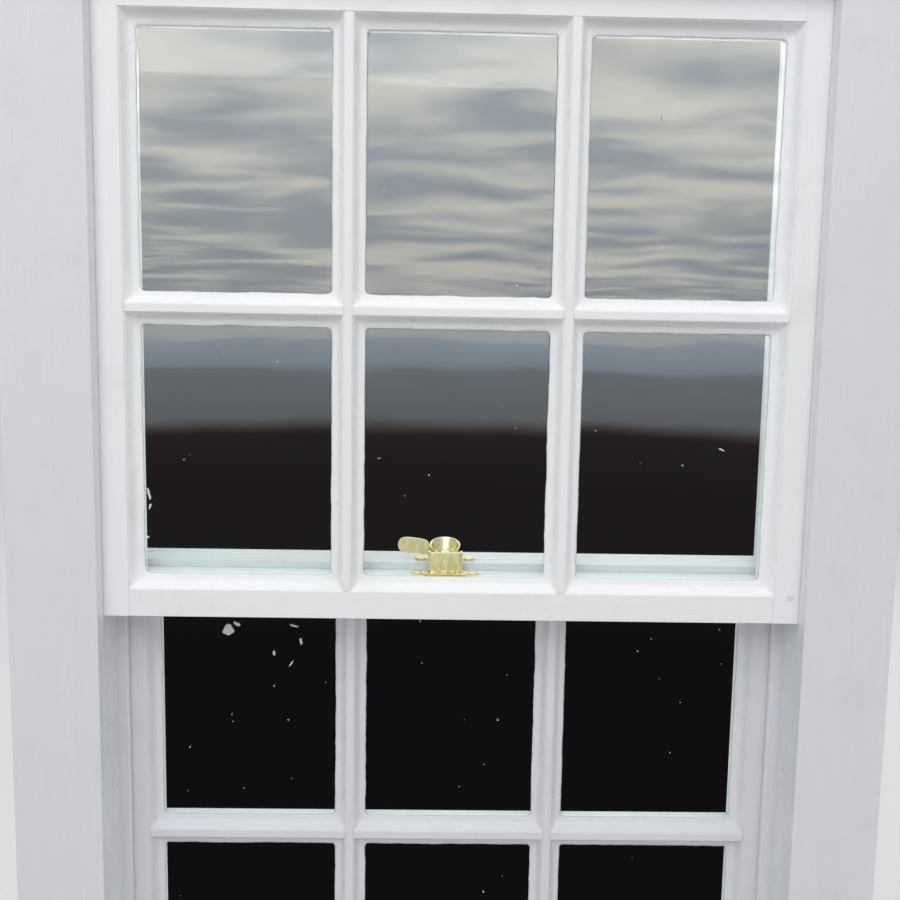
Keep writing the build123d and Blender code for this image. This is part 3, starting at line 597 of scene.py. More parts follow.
def glass_finish():
    """Clear, very slightly wavy glass that lets lamps shine through."""
    _, tree, shader = new_finish("window_glass")
    feed(tree, shader, {"Base Color": (*colours().glass, 1), "Roughness": 0.0, "IOR": 1.52,
                        "Transmission Weight": 1.0})
    waves = add_node(tree, "TexNoise", {
        "Vector": mapped(tree, (1, 1, 1.6)), "Scale": 7.0, "Detail": 1.0})
    emboss(tree, shader, waves.outputs["Fac"], 0.22 * MM)
    path = add_node(tree, "LightPath")
    clear = add_node(tree, "BsdfTransparent", {"Color": (*colours().glass_shade, 1)})
    show(tree, add_node(tree, "MixShader", {
        0: path.outputs["Is Shadow Ray"], 1: shader.outputs[0], 2: clear.outputs[0]}))


def brass_finish(name, shine, tarnish):
    """Brass: shine is its roughness, tarnish how much it has dulled in patches."""
    _, tree, shader = new_finish(name)
    patch = patches(tree, mapped(tree, (1, 1, 0.3)), scale=120.0, low=0.42, high=0.68)
    scratch = use_group(tree, "Brush Marks", {
        "Vector": mapped(tree, (0.25, 1, 1)), "Bristle Scale": 2400.0, "Ridge Scale": 500.0})
    edge = use_group(tree, "Soft Edge", {"Radius": 0.5 * MM})
    brass = colours().brass
    dull = (0.50 * brass[0], 0.44 * brass[1], 0.36 * brass[2])
    # Along the edges the brass is lighter and paler: partly tarnish rubbed off, partly painted
    # highlight
    rubbed_edge_highlight = (min(1, 1.08 * brass[0]), min(1, 1.1 * brass[1]), min(1, 1.25 * brass[2]))
    colour = wash(tree, patch, tarnish, brass, dull)
    colour = wash(tree, edge.outputs["Mask"], 0.6, colour, rubbed_edge_highlight)
    shader.inputs["Metallic"].default_value = 1.0
    rough = ramp(tree, patch, 0.0, 1.0, shine, shine + 0.35 * tarnish)
    rough = sums(tree, "ADD", rough, sums(tree, "MULTIPLY", scratch.outputs["Streaks"], 0.06))
    coat(tree, shader, colour, rough)
    emboss(tree, shader, scratch.outputs["Height"], 0.03 * MM, edge)


def metal_finish(name, colour, roughness, grain, depth):
    """A grey metal with a blotchy skin: steel pins, or cast iron with a coarse grain."""
    _, tree, shader = new_finish(name)
    plain = mapped(tree, (1, 1, 1))
    patch = patches(tree, plain, scale=45.0, low=0.4, high=0.75)
    skin = add_node(tree, "TexNoise", {"Vector": plain, "Scale": grain, "Detail": 5.0})
    edge = use_group(tree, "Soft Edge", {"Radius": 0.8 * MM})
    rusty = mix_colour(tree, 0.45, tuple(colour), colours().rust)
    worn = tuple(min(1, 1.6 * c) for c in colour)
    tone = wash(tree, patch, 0.5, colour, rusty)
    tone = wash(tree, edge.outputs["Mask"], 0.5, tone, worn)
    shader.inputs["Metallic"].default_value = 1.0
    coat(tree, shader, tone,
         ramp(tree, skin.outputs["Fac"], 0.3, 0.7, roughness - 0.08, roughness + 0.1))
    emboss(tree, shader, skin.outputs["Fac"], depth, edge)


CORD_STRANDS = 8


def cord_finish():
    """Waxed cotton braid: two crossing families of strands, read from the Braid map."""
    _, tree, shader = new_finish("sash_cord")
    spot = add_node(tree, "UVMap", uv_map="Braid")
    parts = add_node(tree, "SeparateXYZ", {"Vector": spot.outputs["UV"]})
    turn, run = (sums(tree, "MULTIPLY", parts.outputs[way], CORD_STRANDS * 2 * math.pi)
                 for way in ("X", "Y"))
    right = sums(tree, "SINE", sums(tree, "ADD", turn, run), 0.0)
    left = sums(tree, "SINE", sums(tree, "SUBTRACT", turn, run), 0.0)
    height = ramp(tree, sums(tree, "MAXIMUM", right, left), -0.6, 1.0)
    wax = patches(tree, mapped(tree, (1, 1, 0.3)), scale=60.0, low=0.4, high=0.7)
    cord = colours().cord
    # Painted shade: the grooves between the strands are darkened in colour as well as bumped
    groove_shade = tuple(0.45 * c for c in cord)
    soiled = tuple(0.75 * c for c in cord)
    tone = mix_colour(tree, height, groove_shade, cord)
    tone = wash(tree, wax, 0.5, tone, soiled)
    coat(tree, shader, tone, ramp(tree, wax, 0.0, 1.0, 0.6, 0.85))
    emboss(tree, shader, height, 0.6 * MM)


def finish_named(name):
    """A material made earlier in this run."""
    return bpy.data.materials[name]


def dress(node, finish, arris=0.0):
    """Give a CAD node its finish and, if arris is given, rounded arrises of that width."""
    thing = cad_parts[node]
    thing.data.materials.clear()
    thing.data.materials.append(finish_named(finish))
    if arris:
        soften(thing, arris)


def soften(thing, arris):
    """Round a piece's sharp edges to a width of arris."""
    weld = thing.modifiers.new("Weld", "WELD")
    weld.merge_threshold = WELD_REACH
    rounding = thing.modifiers.new("Arris", "BEVEL")
    rounding.width = arris
    rounding.segments = 2
    rounding.limit_method = "ANGLE"
    rounding.angle_limit = ROUNDED_EDGE
    rounding.use_clamp_overlap = True
    rounding.harden_normals = True
    rounding.miter_outer = "MITER_ARC"


# Putty

def pane_rims(sash):
    """Each pane's rebate rectangle and the widths of its four sides, from the CAD glass."""
    glass = np.array([v.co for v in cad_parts[f"{sash}_panes"].data.vertices])
    xs = np.unique(glass[:, 0].round(5))
    zs = np.unique(glass[:, 2].round(5))
    play, broad, narrow = sizes().glass_play, sizes().frame_rebate, sizes().bar_rebate
    for column in range(0, len(xs), 2):
        for row in range(0, len(zs), 2):
            yield (
                (xs[column] - play, zs[row] - play, xs[column + 1] + play, zs[row + 1] + play),
                (broad if column == 0 else narrow, broad if row == 0 else narrow,
                 broad if column == len(xs) - 2 else narrow,
                 broad if row == len(zs) - 2 else narrow),
            )


# The fillet's section as (share of the rebate's width, depth in mm behind the timber's face)
PUTTY_FRONT = (
    (-0.02, 1.0), (0.05, 1.15), (0.10, 2.0), (0.17, 3.8), (0.25, 5.7), (0.34, 7.6),
    (0.43, 9.2), (0.51, 10.3), (0.58, 10.95), (0.67, 11.4), (0.78, 11.8), (0.89, 12.15),
    (0.96, 12.4),
)


def putty_fillet(rebate, widths, face_y, seed):
    """One pane's putty: the wavy front fillet, its paint line and the bed round the glass."""
    x0, z0, x1, z1 = rebate
    left, foot, right, top = widths
    ripple, step, lap = sizes().putty_ripple, sizes().putty_step, sizes().paint_lap
    glass, bed = 13.0 * MM, 17.0 * MM
    rebate_floor = 18.0 * MM
    broad = max(widths)
    lip = 1 + lap / broad
    edge = sizes().glass_play / broad
    section = [(share, depth * MM, True) for share, depth in PUTTY_FRONT]
    section += [(1.0, glass - 0.36 * MM, True), (lip, glass - 0.16 * MM, True),
                (lip + 0.03, glass - 0.01 * MM, True), (edge, glass, False), (edge, bed, False),
                (0.995, bed, False), (0.995, rebate_floor, False), (0.0, rebate_floor, False)]
    corners = [Vector((x0, z0)), Vector((x1, z0)), Vector((x1, z1)), Vector((x0, z1))]
    inner = [Vector((left, foot)), Vector((-right, foot)), Vector((-right, -top)),
             Vector((left, -top))]
    thumb, turns = sizes().putty_corner, 5
    verts, stations = [], 0
    for side in range(4):
        start, end = corners[side], corners[(side + 1) % 4]
        run = (end - start).length
        ahead = (end - start) / run
        inward = Vector((-ahead.y, ahead.x))
        near = [thumb * i / turns for i in range(turns)]
        middle = max(2, round((run - 2 * thumb) / step))
        spots = near + [thumb + (run - 2 * thumb) * i / middle for i in range(middle + 1)]
        spots += [run - spot for spot in reversed(near[1:])]
        for spot in spots:
            place = start + ahead * spot
            where = Vector((place.x, seed, place.y))
            slow = noise.noise(where * 38)
            quick = noise.noise(where * 170 + Vector((5, 0, 0)))
            sweep = noise.noise(where * 14 + Vector((0, 9, 0)))
            wander = ripple * (0.7 * slow + 0.5 * quick + 0.5 * sweep) / broad
            sag = 0.45 * MM * (noise.noise(where * 60 + Vector((0, 0, 7))) + 0.6 * slow)
            from_start = spot <= run / 2
            gap = spot if from_start else run - spot
            way = ahead if from_start else -ahead
            corner, offset = ((start, inner[side]) if from_start
                              else (end, inner[(side + 1) % 4]))
            for share, depth, free in section:
                inside = max(0.0, min(1.0, share))
                s = share + (wander * inside ** 2 if free else 0)
                bulge = math.sin(math.pi * inside) if free else 0
                bend = thumb * inside if free else 0
                if gap < thumb and bend:
                    swing = math.pi / 4 * (1 - gap / thumb)
                    spread = bend - bend * math.sin(swing)
                    rise = bend - bend * math.cos(swing)
                    spread = spread if gap < bend else gap
                    rise = rise if gap < bend else 0.0
                    point = corner + offset * s + way * spread + inward * rise
                else:
                    share_along = spot / run
                    point = (start + inner[side] * s) * (1 - share_along)
                    point += (end + inner[(side + 1) % 4] * s) * share_along
                verts.append((point.x, face_y + depth + sag * bulge, point.y))
        stations += len(spots)
    faces = []
    points = len(section)
    for ring in range(stations):
        near, far = ring * points, (ring + 1) % stations * points
        for i in range(points):
            j = (i + 1) % points
            faces.append((near + i, near + j, far + j, far + i))
    return verts, faces


# Dabs of paint and plaster left on the outside of the panes: sash, X, Z, half length, half
# width (mm) and lean (radians)
GLASS_MARKS = (
    ("lower", -239.8, 645.0, 6.5, 5.0, 0.5), ("lower", -231.5, 652.0, 4.5, 1.8, -0.6),
    ("lower", -169.9, 650.5, 5.5, 0.9, -0.3), ("lower", -162.4, 633.5, 1.5, 3.2, 0.2),
    ("lower", -191.5, 620.0, 1.5, 2.5, 0.2), ("lower", -173.2, 608.0, 4.2, 0.8, 1.0),
    ("lower", -191.6, 583.0, 0.9, 0.7, 0.0), ("lower", -283.4, 513.0, 0.8, 0.8, 0.0),
    ("upper", -306.9, 801.5, 1.2, 5.5, 0.25), ("upper", -306.1, 789.0, 0.9, 3.8, -0.35),
    ("upper", -308.7, 757.6, 1.2, 1.2, 0.0), ("upper", 194.9, 1177.3, 1.0, 2.8, 0.15),
    ("upper", 268.2, 854.7, 3.0, 0.7, -0.4), ("upper", 57.3, 1015.0, 0.9, 0.7, 0.0),
    ("upper", 62.3, 1012.2, 0.8, 0.7, 0.0), ("upper", 110.5, 1006.5, 1.6, 1.2, 0.4),
)


def paint_dab(place, out, half_long, half_wide, lean, seed):
    """A thin ragged dab of paint lying on a flat face."""
    turn = Vector(out).to_track_quat("Z", "Y").to_matrix() @ Matrix.Rotation(lean, 3, "Z")
    count = 22
    rings = []
    for reach, height in ((1.0, -0.00002), (0.82, 0.00016), (0.4, 0.00024)):
        ring = []
        for i in range(count):
            angle = 2 * math.pi * i / count
            rag = noise.noise(
                Vector((1.4 * math.cos(angle), 1.4 * math.sin(angle), 3.3 * seed)))
            radius = reach * (1 + 0.55 * rag)
            spot = Vector((half_long * radius * math.cos(angle),
                           half_wide * radius * math.sin(angle), height))
            ring.append(place + turn @ spot)
        rings.append(ring)
    verts = [v for ring in rings for v in ring]
    faces = [tuple(range(count)), tuple(range(2 * count, 3 * count))]
    for level in (0, count):
        faces += [(level + i, level + (i + 1) % count, level + count + (i + 1) % count,
                   level + count + i) for i in range(count)]
    return verts, faces


# The filled plug at the upper sash's right end and the paint run on the left pulley stile:
# where they are (m), half length, half width (mm), lean (radians) and seed
PLUG_X, PLUG_Z = 0.3419, 0.7064
PLUG_SHAPE = (3.6 * MM, 3.2 * MM, 0.0, 41)
RUN_Y, RUN_Z = 0.0286, 0.558
RUN_SHAPE = (19 * MM, 1.4 * MM, 0.07, 7)
SPECK_SEED = 11
RUST_PLACE = (-0.3155, 0.0255, 0.825)


def leave_marks():
    """The dabs on the glass, the filled plug on the upper sash and the run on the case."""
    noise.seed_set(SPECK_SEED)
    for sash in SASHES:
        glass_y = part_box(f"{sash}_panes")[0].y
        dabs = [paint_dab(Vector((x * MM, glass_y, z * MM)), (0, -1, 0), long * MM, wide * MM,
                          lean, seed)
                for seed, (mark, x, z, long, wide, lean) in enumerate(GLASS_MARKS)
                if mark == sash]
        for seed, ((x0, z0, x1, z1), widths) in enumerate(pane_rims(sash)):
            left, foot, right, top = widths
            for grain in range(sizes().specks):
                pick = noise.random_vector() * 0.5 + Vector((0.5, 0.5, 0.5))
                x = x0 + left + (x1 - right - x0 - left) * (0.04 + 0.92 * pick.x)
                z = z0 + foot + (z1 - top - z0 - foot) * (0.04 + 0.92 * pick.y)
                size = (0.25 + 0.4 * pick.z) * MM
                dabs.append(paint_dab(Vector((x, glass_y, z)), (0, -1, 0), size * (1 + pick.x),
                                      size, 6 * pick.y, 50 + 10 * seed + grain))
        if sash == "upper":
            face_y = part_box("upper_stile_right")[0].y
            dabs.append(paint_dab(Vector((PLUG_X, face_y, PLUG_Z)), (0, -1, 0), *PLUG_SHAPE))
        piece = new_piece(f"{sash}_paint_dabs", *joined(dabs), finish_named("paint_dab"))
        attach(piece, f"{sash}_sash")
    run = paint_dab(Vector((-channel_half(), RUN_Y, RUN_Z)), (1, 0, 0), *RUN_SHAPE)
    piece = new_piece("paint_run", *run, finish_named("paint_upright"))
    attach(piece, "case")


class SASHWINDOW_OT_mix_finishes(bpy.types.Operator):
    """Make every finish that the window's pieces wear"""

    bl_idname = "sash_window.mix_finishes"
    bl_label = "Mix Finishes"

    def execute(self, context):
        build_groups()
        # The lighter white is painted light on the upper sash, the darker white is painted
        # shade on the case and the lower sash
        shaded_tone, lit_tone = colours().paint, colours().lit_paint
        upright, across, round_panes = (1, 1, 0.045), (0.045, 1, 1), (0.4, 1, 0.4)
        paint_finish("paint_upright", shaded_tone, upright, seed=0.0)
        paint_finish("paint_across", shaded_tone, across, seed=3.7)
        paint_finish("lit_paint_upright", lit_tone, upright, seed=1.9)
        paint_finish("lit_paint_across", lit_tone, across, seed=5.3)
        paint_finish("lower_putty_paint", shaded_tone, round_panes, seed=7.1, bump=0.3 * MM)
        stained_paint_finish("upper_putty_paint", round_panes, seed=7.1, bump=0.3 * MM,
                             centre=RUST_PLACE)
        dab_finish()
        softwood_finish()
        glass_finish()
        brass_finish("polished_brass", shine=0.18, tarnish=0.4)
        brass_finish("pulley_brass", shine=0.3, tarnish=0.9)
        metal_finish("plain_steel", colours().steel, roughness=0.35, grain=300.0,
                     depth=0.05 * MM)
        metal_finish("weight_iron", colours().iron, roughness=0.62, grain=420.0,
                     depth=0.6 * MM)
        cord_finish()
        return {"FINISHED"}


class SASHWINDOW_OT_paint_timber(bpy.types.Operator):
    """Paint the case and both sashes, and round their arrises"""

    bl_idname = "sash_window.paint_timber"
    bl_label = "Paint Timber"

    def execute(self, context):
        arris = sizes().arris_round
        for node in CASE_UPRIGHT:
            dress(node, "paint_upright", arris)
        for node in CASE_ACROSS:
            dress(node, "paint_across", arris)
        for node in CASE_BARE:
            dress(node, "sawn_pine", arris)
        for sash in SASHES:
            for member in SASH_UPRIGHT:
                dress(f"{sash}_{member}", COATS[sash] + "_upright", arris)
            for member in SASH_ACROSS[sash]:
                dress(f"{sash}_{member}", COATS[sash] + "_across", arris)
        return {"FINISHED"}


class SASHWINDOW_OT_glaze(bpy.types.Operator):
    """Set the glass and run a hand-tooled putty fillet round every pane"""

    bl_idname = "sash_window.glaze"
    bl_label = "Glaze"

    def execute(self, context):
        for sash in SASHES:
            dress(f"{sash}_panes", "window_glass")
            face_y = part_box(f"{sash}_stile_left")[0].y
            fillets = [putty_fillet(rebate, widths, face_y, seed)
                       for seed, (rebate, widths) in enumerate(pane_rims(sash))]
            piece = new_piece(f"{sash}_putty_fillets", *joined(fillets),
                              finish_named(f"{sash}_putty_paint"))
            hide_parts(f"{sash}_putty")
            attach(piece, f"{sash}_sash")
        leave_marks()
        return {"FINISHED"}


def screw_set(name, body, finish, radius, screws):
    """Slotted heads at (place, direction out, turn of the slot), as one piece on a body."""
    heads = [slotted_head(Vector(place), out, radius, sizes().screw_slot, turn)
             for place, out, turn in screws]
    piece = new_piece(name, *joined(heads), finish_named(finish), smooth=False)
    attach(piece, body)
    return piece


# How far the heads lie below their plate, and the heads' radii
SCREW_SINK = 0.12 * MM
SMALL_HEAD, LARGE_HEAD = 3.1 * MM, 4.1 * MM
# The fastener's plates: their thickness, the screws' distance from their ends and the
# keep's row of screws from its outer edge
PLATE, LUG, KEEP_ROW = 2.5 * MM, 7 * MM, 12 * MM
# Screws above and below a pulley's middle, and above a pocket piece's foot
PULLEY_REACH, POCKET_REACH = 46 * MM, 24 * MM


def drive_screws():
    """Screw down the fastener, its keep, the pulleys and the pocket pieces."""
    for node, body, name in (("cam_base", "lower_sash", "fastener_screws"),
                             ("keep", "upper_sash", "keep_screws")):
        low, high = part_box(node)
        y = (low.y + high.y) / 2 if node == "cam_base" else low.y + KEEP_ROW
        top = low.z + PLATE - SCREW_SINK
        spots = [((x, y, top), (0, 0, 1), turn)
                 for x, turn in ((low.x + LUG, 0.5), (high.x - LUG, 1.9))]
        screw_set(name, body, "polished_brass", SMALL_HEAD, spots)
    stile_face = channel_half() + SCREW_SINK
    spots = []
    for sash in SASHES:
        low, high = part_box(f"{sash}_pulley_frames")
        y, middle = (low.y + high.y) / 2, (low.z + high.z) / 2
        for side in SIDES.values():
            for hand in (-1, 1):
                spots.append(((side * stile_face, y, middle + hand * PULLEY_REACH),
                              (-side, 0, 0), 0.7 * hand + side))
    screw_set("pulley_screws", "case", "pulley_brass", LARGE_HEAD, spots)
    spots = []
    for name, side in SIDES.items():
        low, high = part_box(f"pocket_piece_{name}")
        spots.append(((side * stile_face, (low.y + high.y) / 2, low.z + POCKET_REACH),
                      (-side, 0, 0), 0.4 + side))
    screw_set("pocket_screws", "case", "plain_steel", LARGE_HEAD, spots)


def channel_half():
    """Half the clear width between the pulley stiles."""
    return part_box("pulley_stile_right")[0].x


# The lever: how far before the pivot it stands, half its thickness, its lean for each mm of
# height above its neck (mm)
LEVER_PLACE, LEVER_HALF, LEVER_LEAN, LEVER_NECK = -10 * MM, 1.4 * MM, 0.10, 3
# Its outline in mm, from the pivot in X and from the cam's foot in Z
LEVER_OUTLINE = (
    (-4, 0.2), (-9, 0.3), (-13, 1.8), (-18, 3.6), (-26, 4.4), (-35, 4.9), (-42.5, 5.4),
    (-47.6, 7.9), (-49.8, 13.2), (-47.8, 18.6), (-43, 21.2), (-34, 20.8), (-25, 19.6),
    (-19.4, 17.9), (-17.0, 15.0), (-15.2, 11.8), (-12.6, 9.2), (-9.6, 7.0), (-6, 5.2),
    (-4, 3.4),
)


# The lip behind the bowl: its arm's inner radius and height, its own depth and heights
ARM_RADIUS, ARM_HEIGHT = 4 * MM, 2 * MM
LIP_DEPTH, LIP_HEIGHTS = 2.5 * MM, (1.9 * MM, 5.7 * MM)
LIP_SPREAD = math.radians(15)
# The bowl's rim in mm: its mean height, and how much lower it is at the outside
RIM_HEIGHT, RIM_TILT = 11.4, 5.6


def ring_sector(pivot, radii, heights, spread):
    """A closed piece of a ring, about the +Y side of the pivot."""
    steps = 10
    angles = [math.pi / 2 - spread + 2 * spread * i / steps for i in range(steps + 1)]
    outline = [(radii[1], a) for a in angles] + [(radii[0], a) for a in reversed(angles)]
    low, high = ([pivot + Vector((r * math.cos(a), r * math.sin(a), h)) for r, a in outline]
                 for h in heights)
    return slab(low, high)


def cam_profile(angle):
    """The bowl's section at an angle about the pivot: its rim is lowest towards the outside."""
    foot, hole, floor, wall = 10.5 * MM, 3.3 * MM, 4.2 * MM, 1.7 * MM
    rim = (RIM_HEIGHT + RIM_TILT * math.sin(angle)) * MM

    def flare(height):
        return foot + 7.6 * MM * (height / (17 * MM)) ** 0.7

    outer = [(flare(rim * t), rim * t) for t in (0.0, 0.15, 0.3, 0.45, 0.6, 0.75, 0.9, 0.97)]
    lip = [(flare(rim) - 0.3 * MM, rim), (flare(rim) - 1.2 * MM, rim)]
    depth = rim - floor
    inner = [(flare(floor + depth * t) - wall, floor + depth * t)
             for t in (0.94, 0.8, 0.6, 0.4, 0.22, 0.08)]
    dish = [(flare(floor) - wall - 0.9 * MM, floor), (hole, floor), (hole, 0.0)]
    return outer + lip + inner + dish


def cast_cam():
    """The cam of the fastener: a dished bowl, its thumb lever and the lip behind it."""
    low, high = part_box("cam_rivet")
    pivot = Vector(((low.x + high.x) / 2, (low.y + high.y) / 2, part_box("cam_lever")[0].z))
    parts = [lathe(cam_profile, pivot, Matrix.Identity(3), 72)]
    faces = []
    for offset in (-LEVER_HALF, LEVER_HALF):
        faces.append([
            pivot + Vector((x * MM, LEVER_PLACE + offset + LEVER_LEAN * (z - LEVER_NECK) * MM,
                            z * MM))
            for x, z in smooth_outline(LEVER_OUTLINE)])
    parts.append(slab(*faces))
    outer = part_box("cam_lever")[1].y - pivot.y
    parts.append(ring_sector(pivot, (ARM_RADIUS, outer), (0, ARM_HEIGHT), LIP_SPREAD))
    parts.append(ring_sector(pivot, (outer - LIP_DEPTH, outer), LIP_HEIGHTS, LIP_SPREAD))
    cam = new_piece("cast_cam", *joined(parts), finish_named("polished_brass"))
    soften(cam, BRASS_ARRIS)
    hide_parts("cam_lever")
    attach(cam, "cam")


class SASHWINDOW_OT_dress_metalwork(bpy.types.Operator):
    """Finish the pulleys, the weights and the cam fastener"""

    bl_idname = "sash_window.dress_metalwork"
    bl_label = "Dress Metalwork"

    def execute(self, context):
        for sash in SASHES:
            dress(f"{sash}_pulley_frames", "pulley_brass")
            for side in SIDES:
                dress(f"{sash}_wheel_{side}", "pulley_brass")
                dress(f"{sash}_weight_{side}", "weight_iron")
        dress("pulley_pins", "plain_steel")
        for node in ("keep", "cam_base"):
            dress(node, "polished_brass", BRASS_ARRIS)
        for node in ("cam_lever", "cam_rivet"):
            dress(node, "polished_brass")
        cast_cam()
        drive_screws()
        return {"FINISHED"}


KNOT_STEPS = 48
CORD_STEPS = 24


def knot_route(place):
    """A tight trefoil about place, lying across the window."""
    reach = sizes().knot_radius / 3
    route = []
    for i in range(KNOT_STEPS):
        a = 2 * math.pi * i / KNOT_STEPS
        route.append((
            place[0] - 1.1 * reach * math.sin(3 * a),
            place[1] + reach * (math.sin(a) + 2 * math.sin(2 * a)),
            place[2] + reach * (math.cos(a) - 2 * math.cos(2 * a)),
        ))
    return route


def straight_route(x, y, top, foot):
    """Evenly spaced points straight down from top to foot."""
    return [(x, y, top - (top - foot) * i / CORD_STEPS) for i in range(CORD_STEPS + 1)]


class SASHWINDOW_OT_hang_cords(bpy.types.Operator):
    """Hang the braided cords between the sashes and their weights"""

    bl_idname = "sash_window.hang_cords"
    bl_label = "Hang Cords"

    def execute(self, context):
        bend = sizes().cord_bend
        arcs = []
        for sash in SASHES:
            low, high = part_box(f"{sash}_sash_cords")
            y, pulley_z, knot_z = (low.y + high.y) / 2, high.z, low.z
            cord_x = high.x - sizes().cord_radius
            routes = [straight_route(side * cord_x, y, pulley_z, knot_z)
                      for side in SIDES.values()]
            runs = braided(f"{sash}_sash_cord_runs", routes)
            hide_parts(f"{sash}_sash_cords")
            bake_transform(runs)
            for name, side in SIDES.items():
                hub_x = cord_x + bend
                turns = [math.pi * i / CORD_STEPS for i in range(CORD_STEPS + 1)]
                arcs.append([(side * (hub_x - bend * math.cos(turn)), y,
                              pulley_z + bend * math.sin(turn)) for turn in turns])
                weight_x = cord_x + 2 * bend
                eye_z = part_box(f"{sash}_weight_cord_{name}")[0].z
                run = braided(f"{sash}_weight_cord_run_{name}",
                              [straight_route(side * weight_x, y, pulley_z, eye_z)])
                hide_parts(f"{sash}_weight_cord_{name}")
                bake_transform(run)
                knot = braided(f"{sash}_weight_knot_{name}",
                               [knot_route((side * weight_x, y, eye_z))], closed=True)
                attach(knot, f"{sash}_weight_{name}")
                inset = 2.2 * sizes().cord_radius
                knot = braided(f"{sash}_sash_knot_{name}",
                               [knot_route((side * (cord_x - inset), y, knot_z))], closed=True)
                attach(knot, f"{sash}_sash")
        over = braided("cords_over_wheels", arcs)
        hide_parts("cord_bends")
        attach(over, "case")
        return {"FINISHED"}


# Where each lamp stands, what it faces and the length of its sides
FRONT_LAMP = ((-0.3, -1.8, 2.45), (0, 0, 0.95), 1.7)
ROOM_LAMP = ((0.8, 2.6, 2.6), (0, 0, 0.7), 2.2)


class SASHWINDOW_OT_set_stage(bpy.types.Operator):
    """Set the plain studio: floor, lamps, world, the dark room card and the camera"""

    bl_idname = "sash_window.set_stage"
    bl_label = "Set Stage"

    def execute(self, context):
        scene = context.scene
        lay_floor()
        hang_room_card()
        light_world(scene)
        front = add_lamp("front_softbox", *FRONT_LAMP, studio().front_light)
        front.visible_glossy = False
        add_lamp("room_softbox", *ROOM_LAMP, studio().back_light)
        lens = bpy.data.cameras.new("Camera")
        lens.sensor_width = 36
        lens.lens = studio().camera_lens
        lens.clip_start = 0.01
        camera = bpy.data.objects.new("Camera", lens)
        camera.location = studio().camera_place
        camera.rotation_euler = studio().camera_turn
        scene.collection.objects.link(camera)
        scene.camera = camera
        scene.view_settings.view_transform = "Standard"
        return {"FINISHED"}


def pane_mirror(tree):
    """1 for light that has come straight off a pane of glass, by either of its faces."""
    path = add_node(tree, "LightPath")
    off_glass = sums(tree, "MULTIPLY", path.outputs["Is Singular Ray"],
                     sums(tree, "GREATER_THAN", path.outputs["Glossy Depth"], 0.5))
    one_pane = sums(tree, "LESS_THAN", path.outputs["Transmission Depth"], 2.5)
    no_paint = sums(tree, "LESS_THAN", path.outputs["Diffuse Depth"], 0.5)
    return sums(tree, "MULTIPLY", off_glass, sums(tree, "MULTIPLY", one_pane, no_paint))


FLOOR_HALF = 14.0


def lay_floor():
    """A wide pale floor that keeps the window's shadow and that glass doesn't mirror."""
    finish, tree, shader = new_finish("studio_floor")
    path = add_node(tree, "LightPath")
    dim = tuple(0.5 * c for c in colours().floor)
    seen = mix_colour(tree, path.outputs["Is Diffuse Ray"], colours().floor, dim)
    tree.links.new(seen, shader.inputs["Base Color"])
    shader.inputs["Roughness"].default_value = 0.9
    away = add_node(tree, "BsdfTransparent")
    show(tree, add_node(tree, "MixShader", {
        0: pane_mirror(tree), 1: shader.outputs[0], 2: away.outputs[0]}))
    half = FLOOR_HALF
    corners = [(-half, -half, 0), (half, -half, 0), (half, half, 0), (-half, half, 0)]
    floor = new_piece("studio_floor", corners, [(0, 1, 2, 3)], finish, smooth=False)


def hang_room_card():
    """An open dark box behind the window that only light through the glass can see: painted
    shade for the unlit room, glowing faintly.
    """
    finish, tree, shader = new_finish("dark_room")
    glow = add_node(tree, "Emission", {"Color": (*colours().room, 1), "Strength": 1.0})
    path = add_node(tree, "LightPath")
    lighting = sums(tree, "GREATER_THAN", path.outputs["Diffuse Depth"], 0.5)
    away = add_node(tree, "BsdfTransparent")
    show(tree, add_node(tree, "MixShader", {
        0: lighting, 1: glow.outputs[0], 2: away.outputs[0]}))
    tree.nodes.remove(shader)
    half, near, far, low, high = 1.3, 0.17, 2.4, 0.002, 2.6
    verts = [(x, y, z) for y in (near, far) for z in (low, high) for x in (-half, half)]
    faces = [(4, 5, 7, 6), (0, 4, 6, 2), (1, 3, 7, 5), (0, 1, 5, 4), (2, 6, 7, 3)]
    card = new_piece("dark_room_card", verts, faces, finish, smooth=False)
    for ray in ("camera", "diffuse", "glossy", "shadow", "volume_scatter"):
        setattr(card, f"visible_{ray}", False)


# What the glass mirrors, from the foreground up to the top of the sky: how far up and colour
MIRRORED_BANDS = (
    (0.0, (0.016, 0.012, 0.012)), (0.10, (0.024, 0.019, 0.018)),
    (0.112, (0.075, 0.060, 0.052)), (0.135, (0.20, 0.215, 0.235)),
    (0.225, (0.24, 0.265, 0.29)), (0.238, (0.34, 0.41, 0.50)),
    (0.285, (0.44, 0.50, 0.57)), (0.296, (0.62, 0.64, 0.66)),
    (0.5, (0.80, 0.82, 0.82)), (0.75, (0.94, 0.97, 0.98)), (1.0, (0.98, 1.0, 1.0)),
)


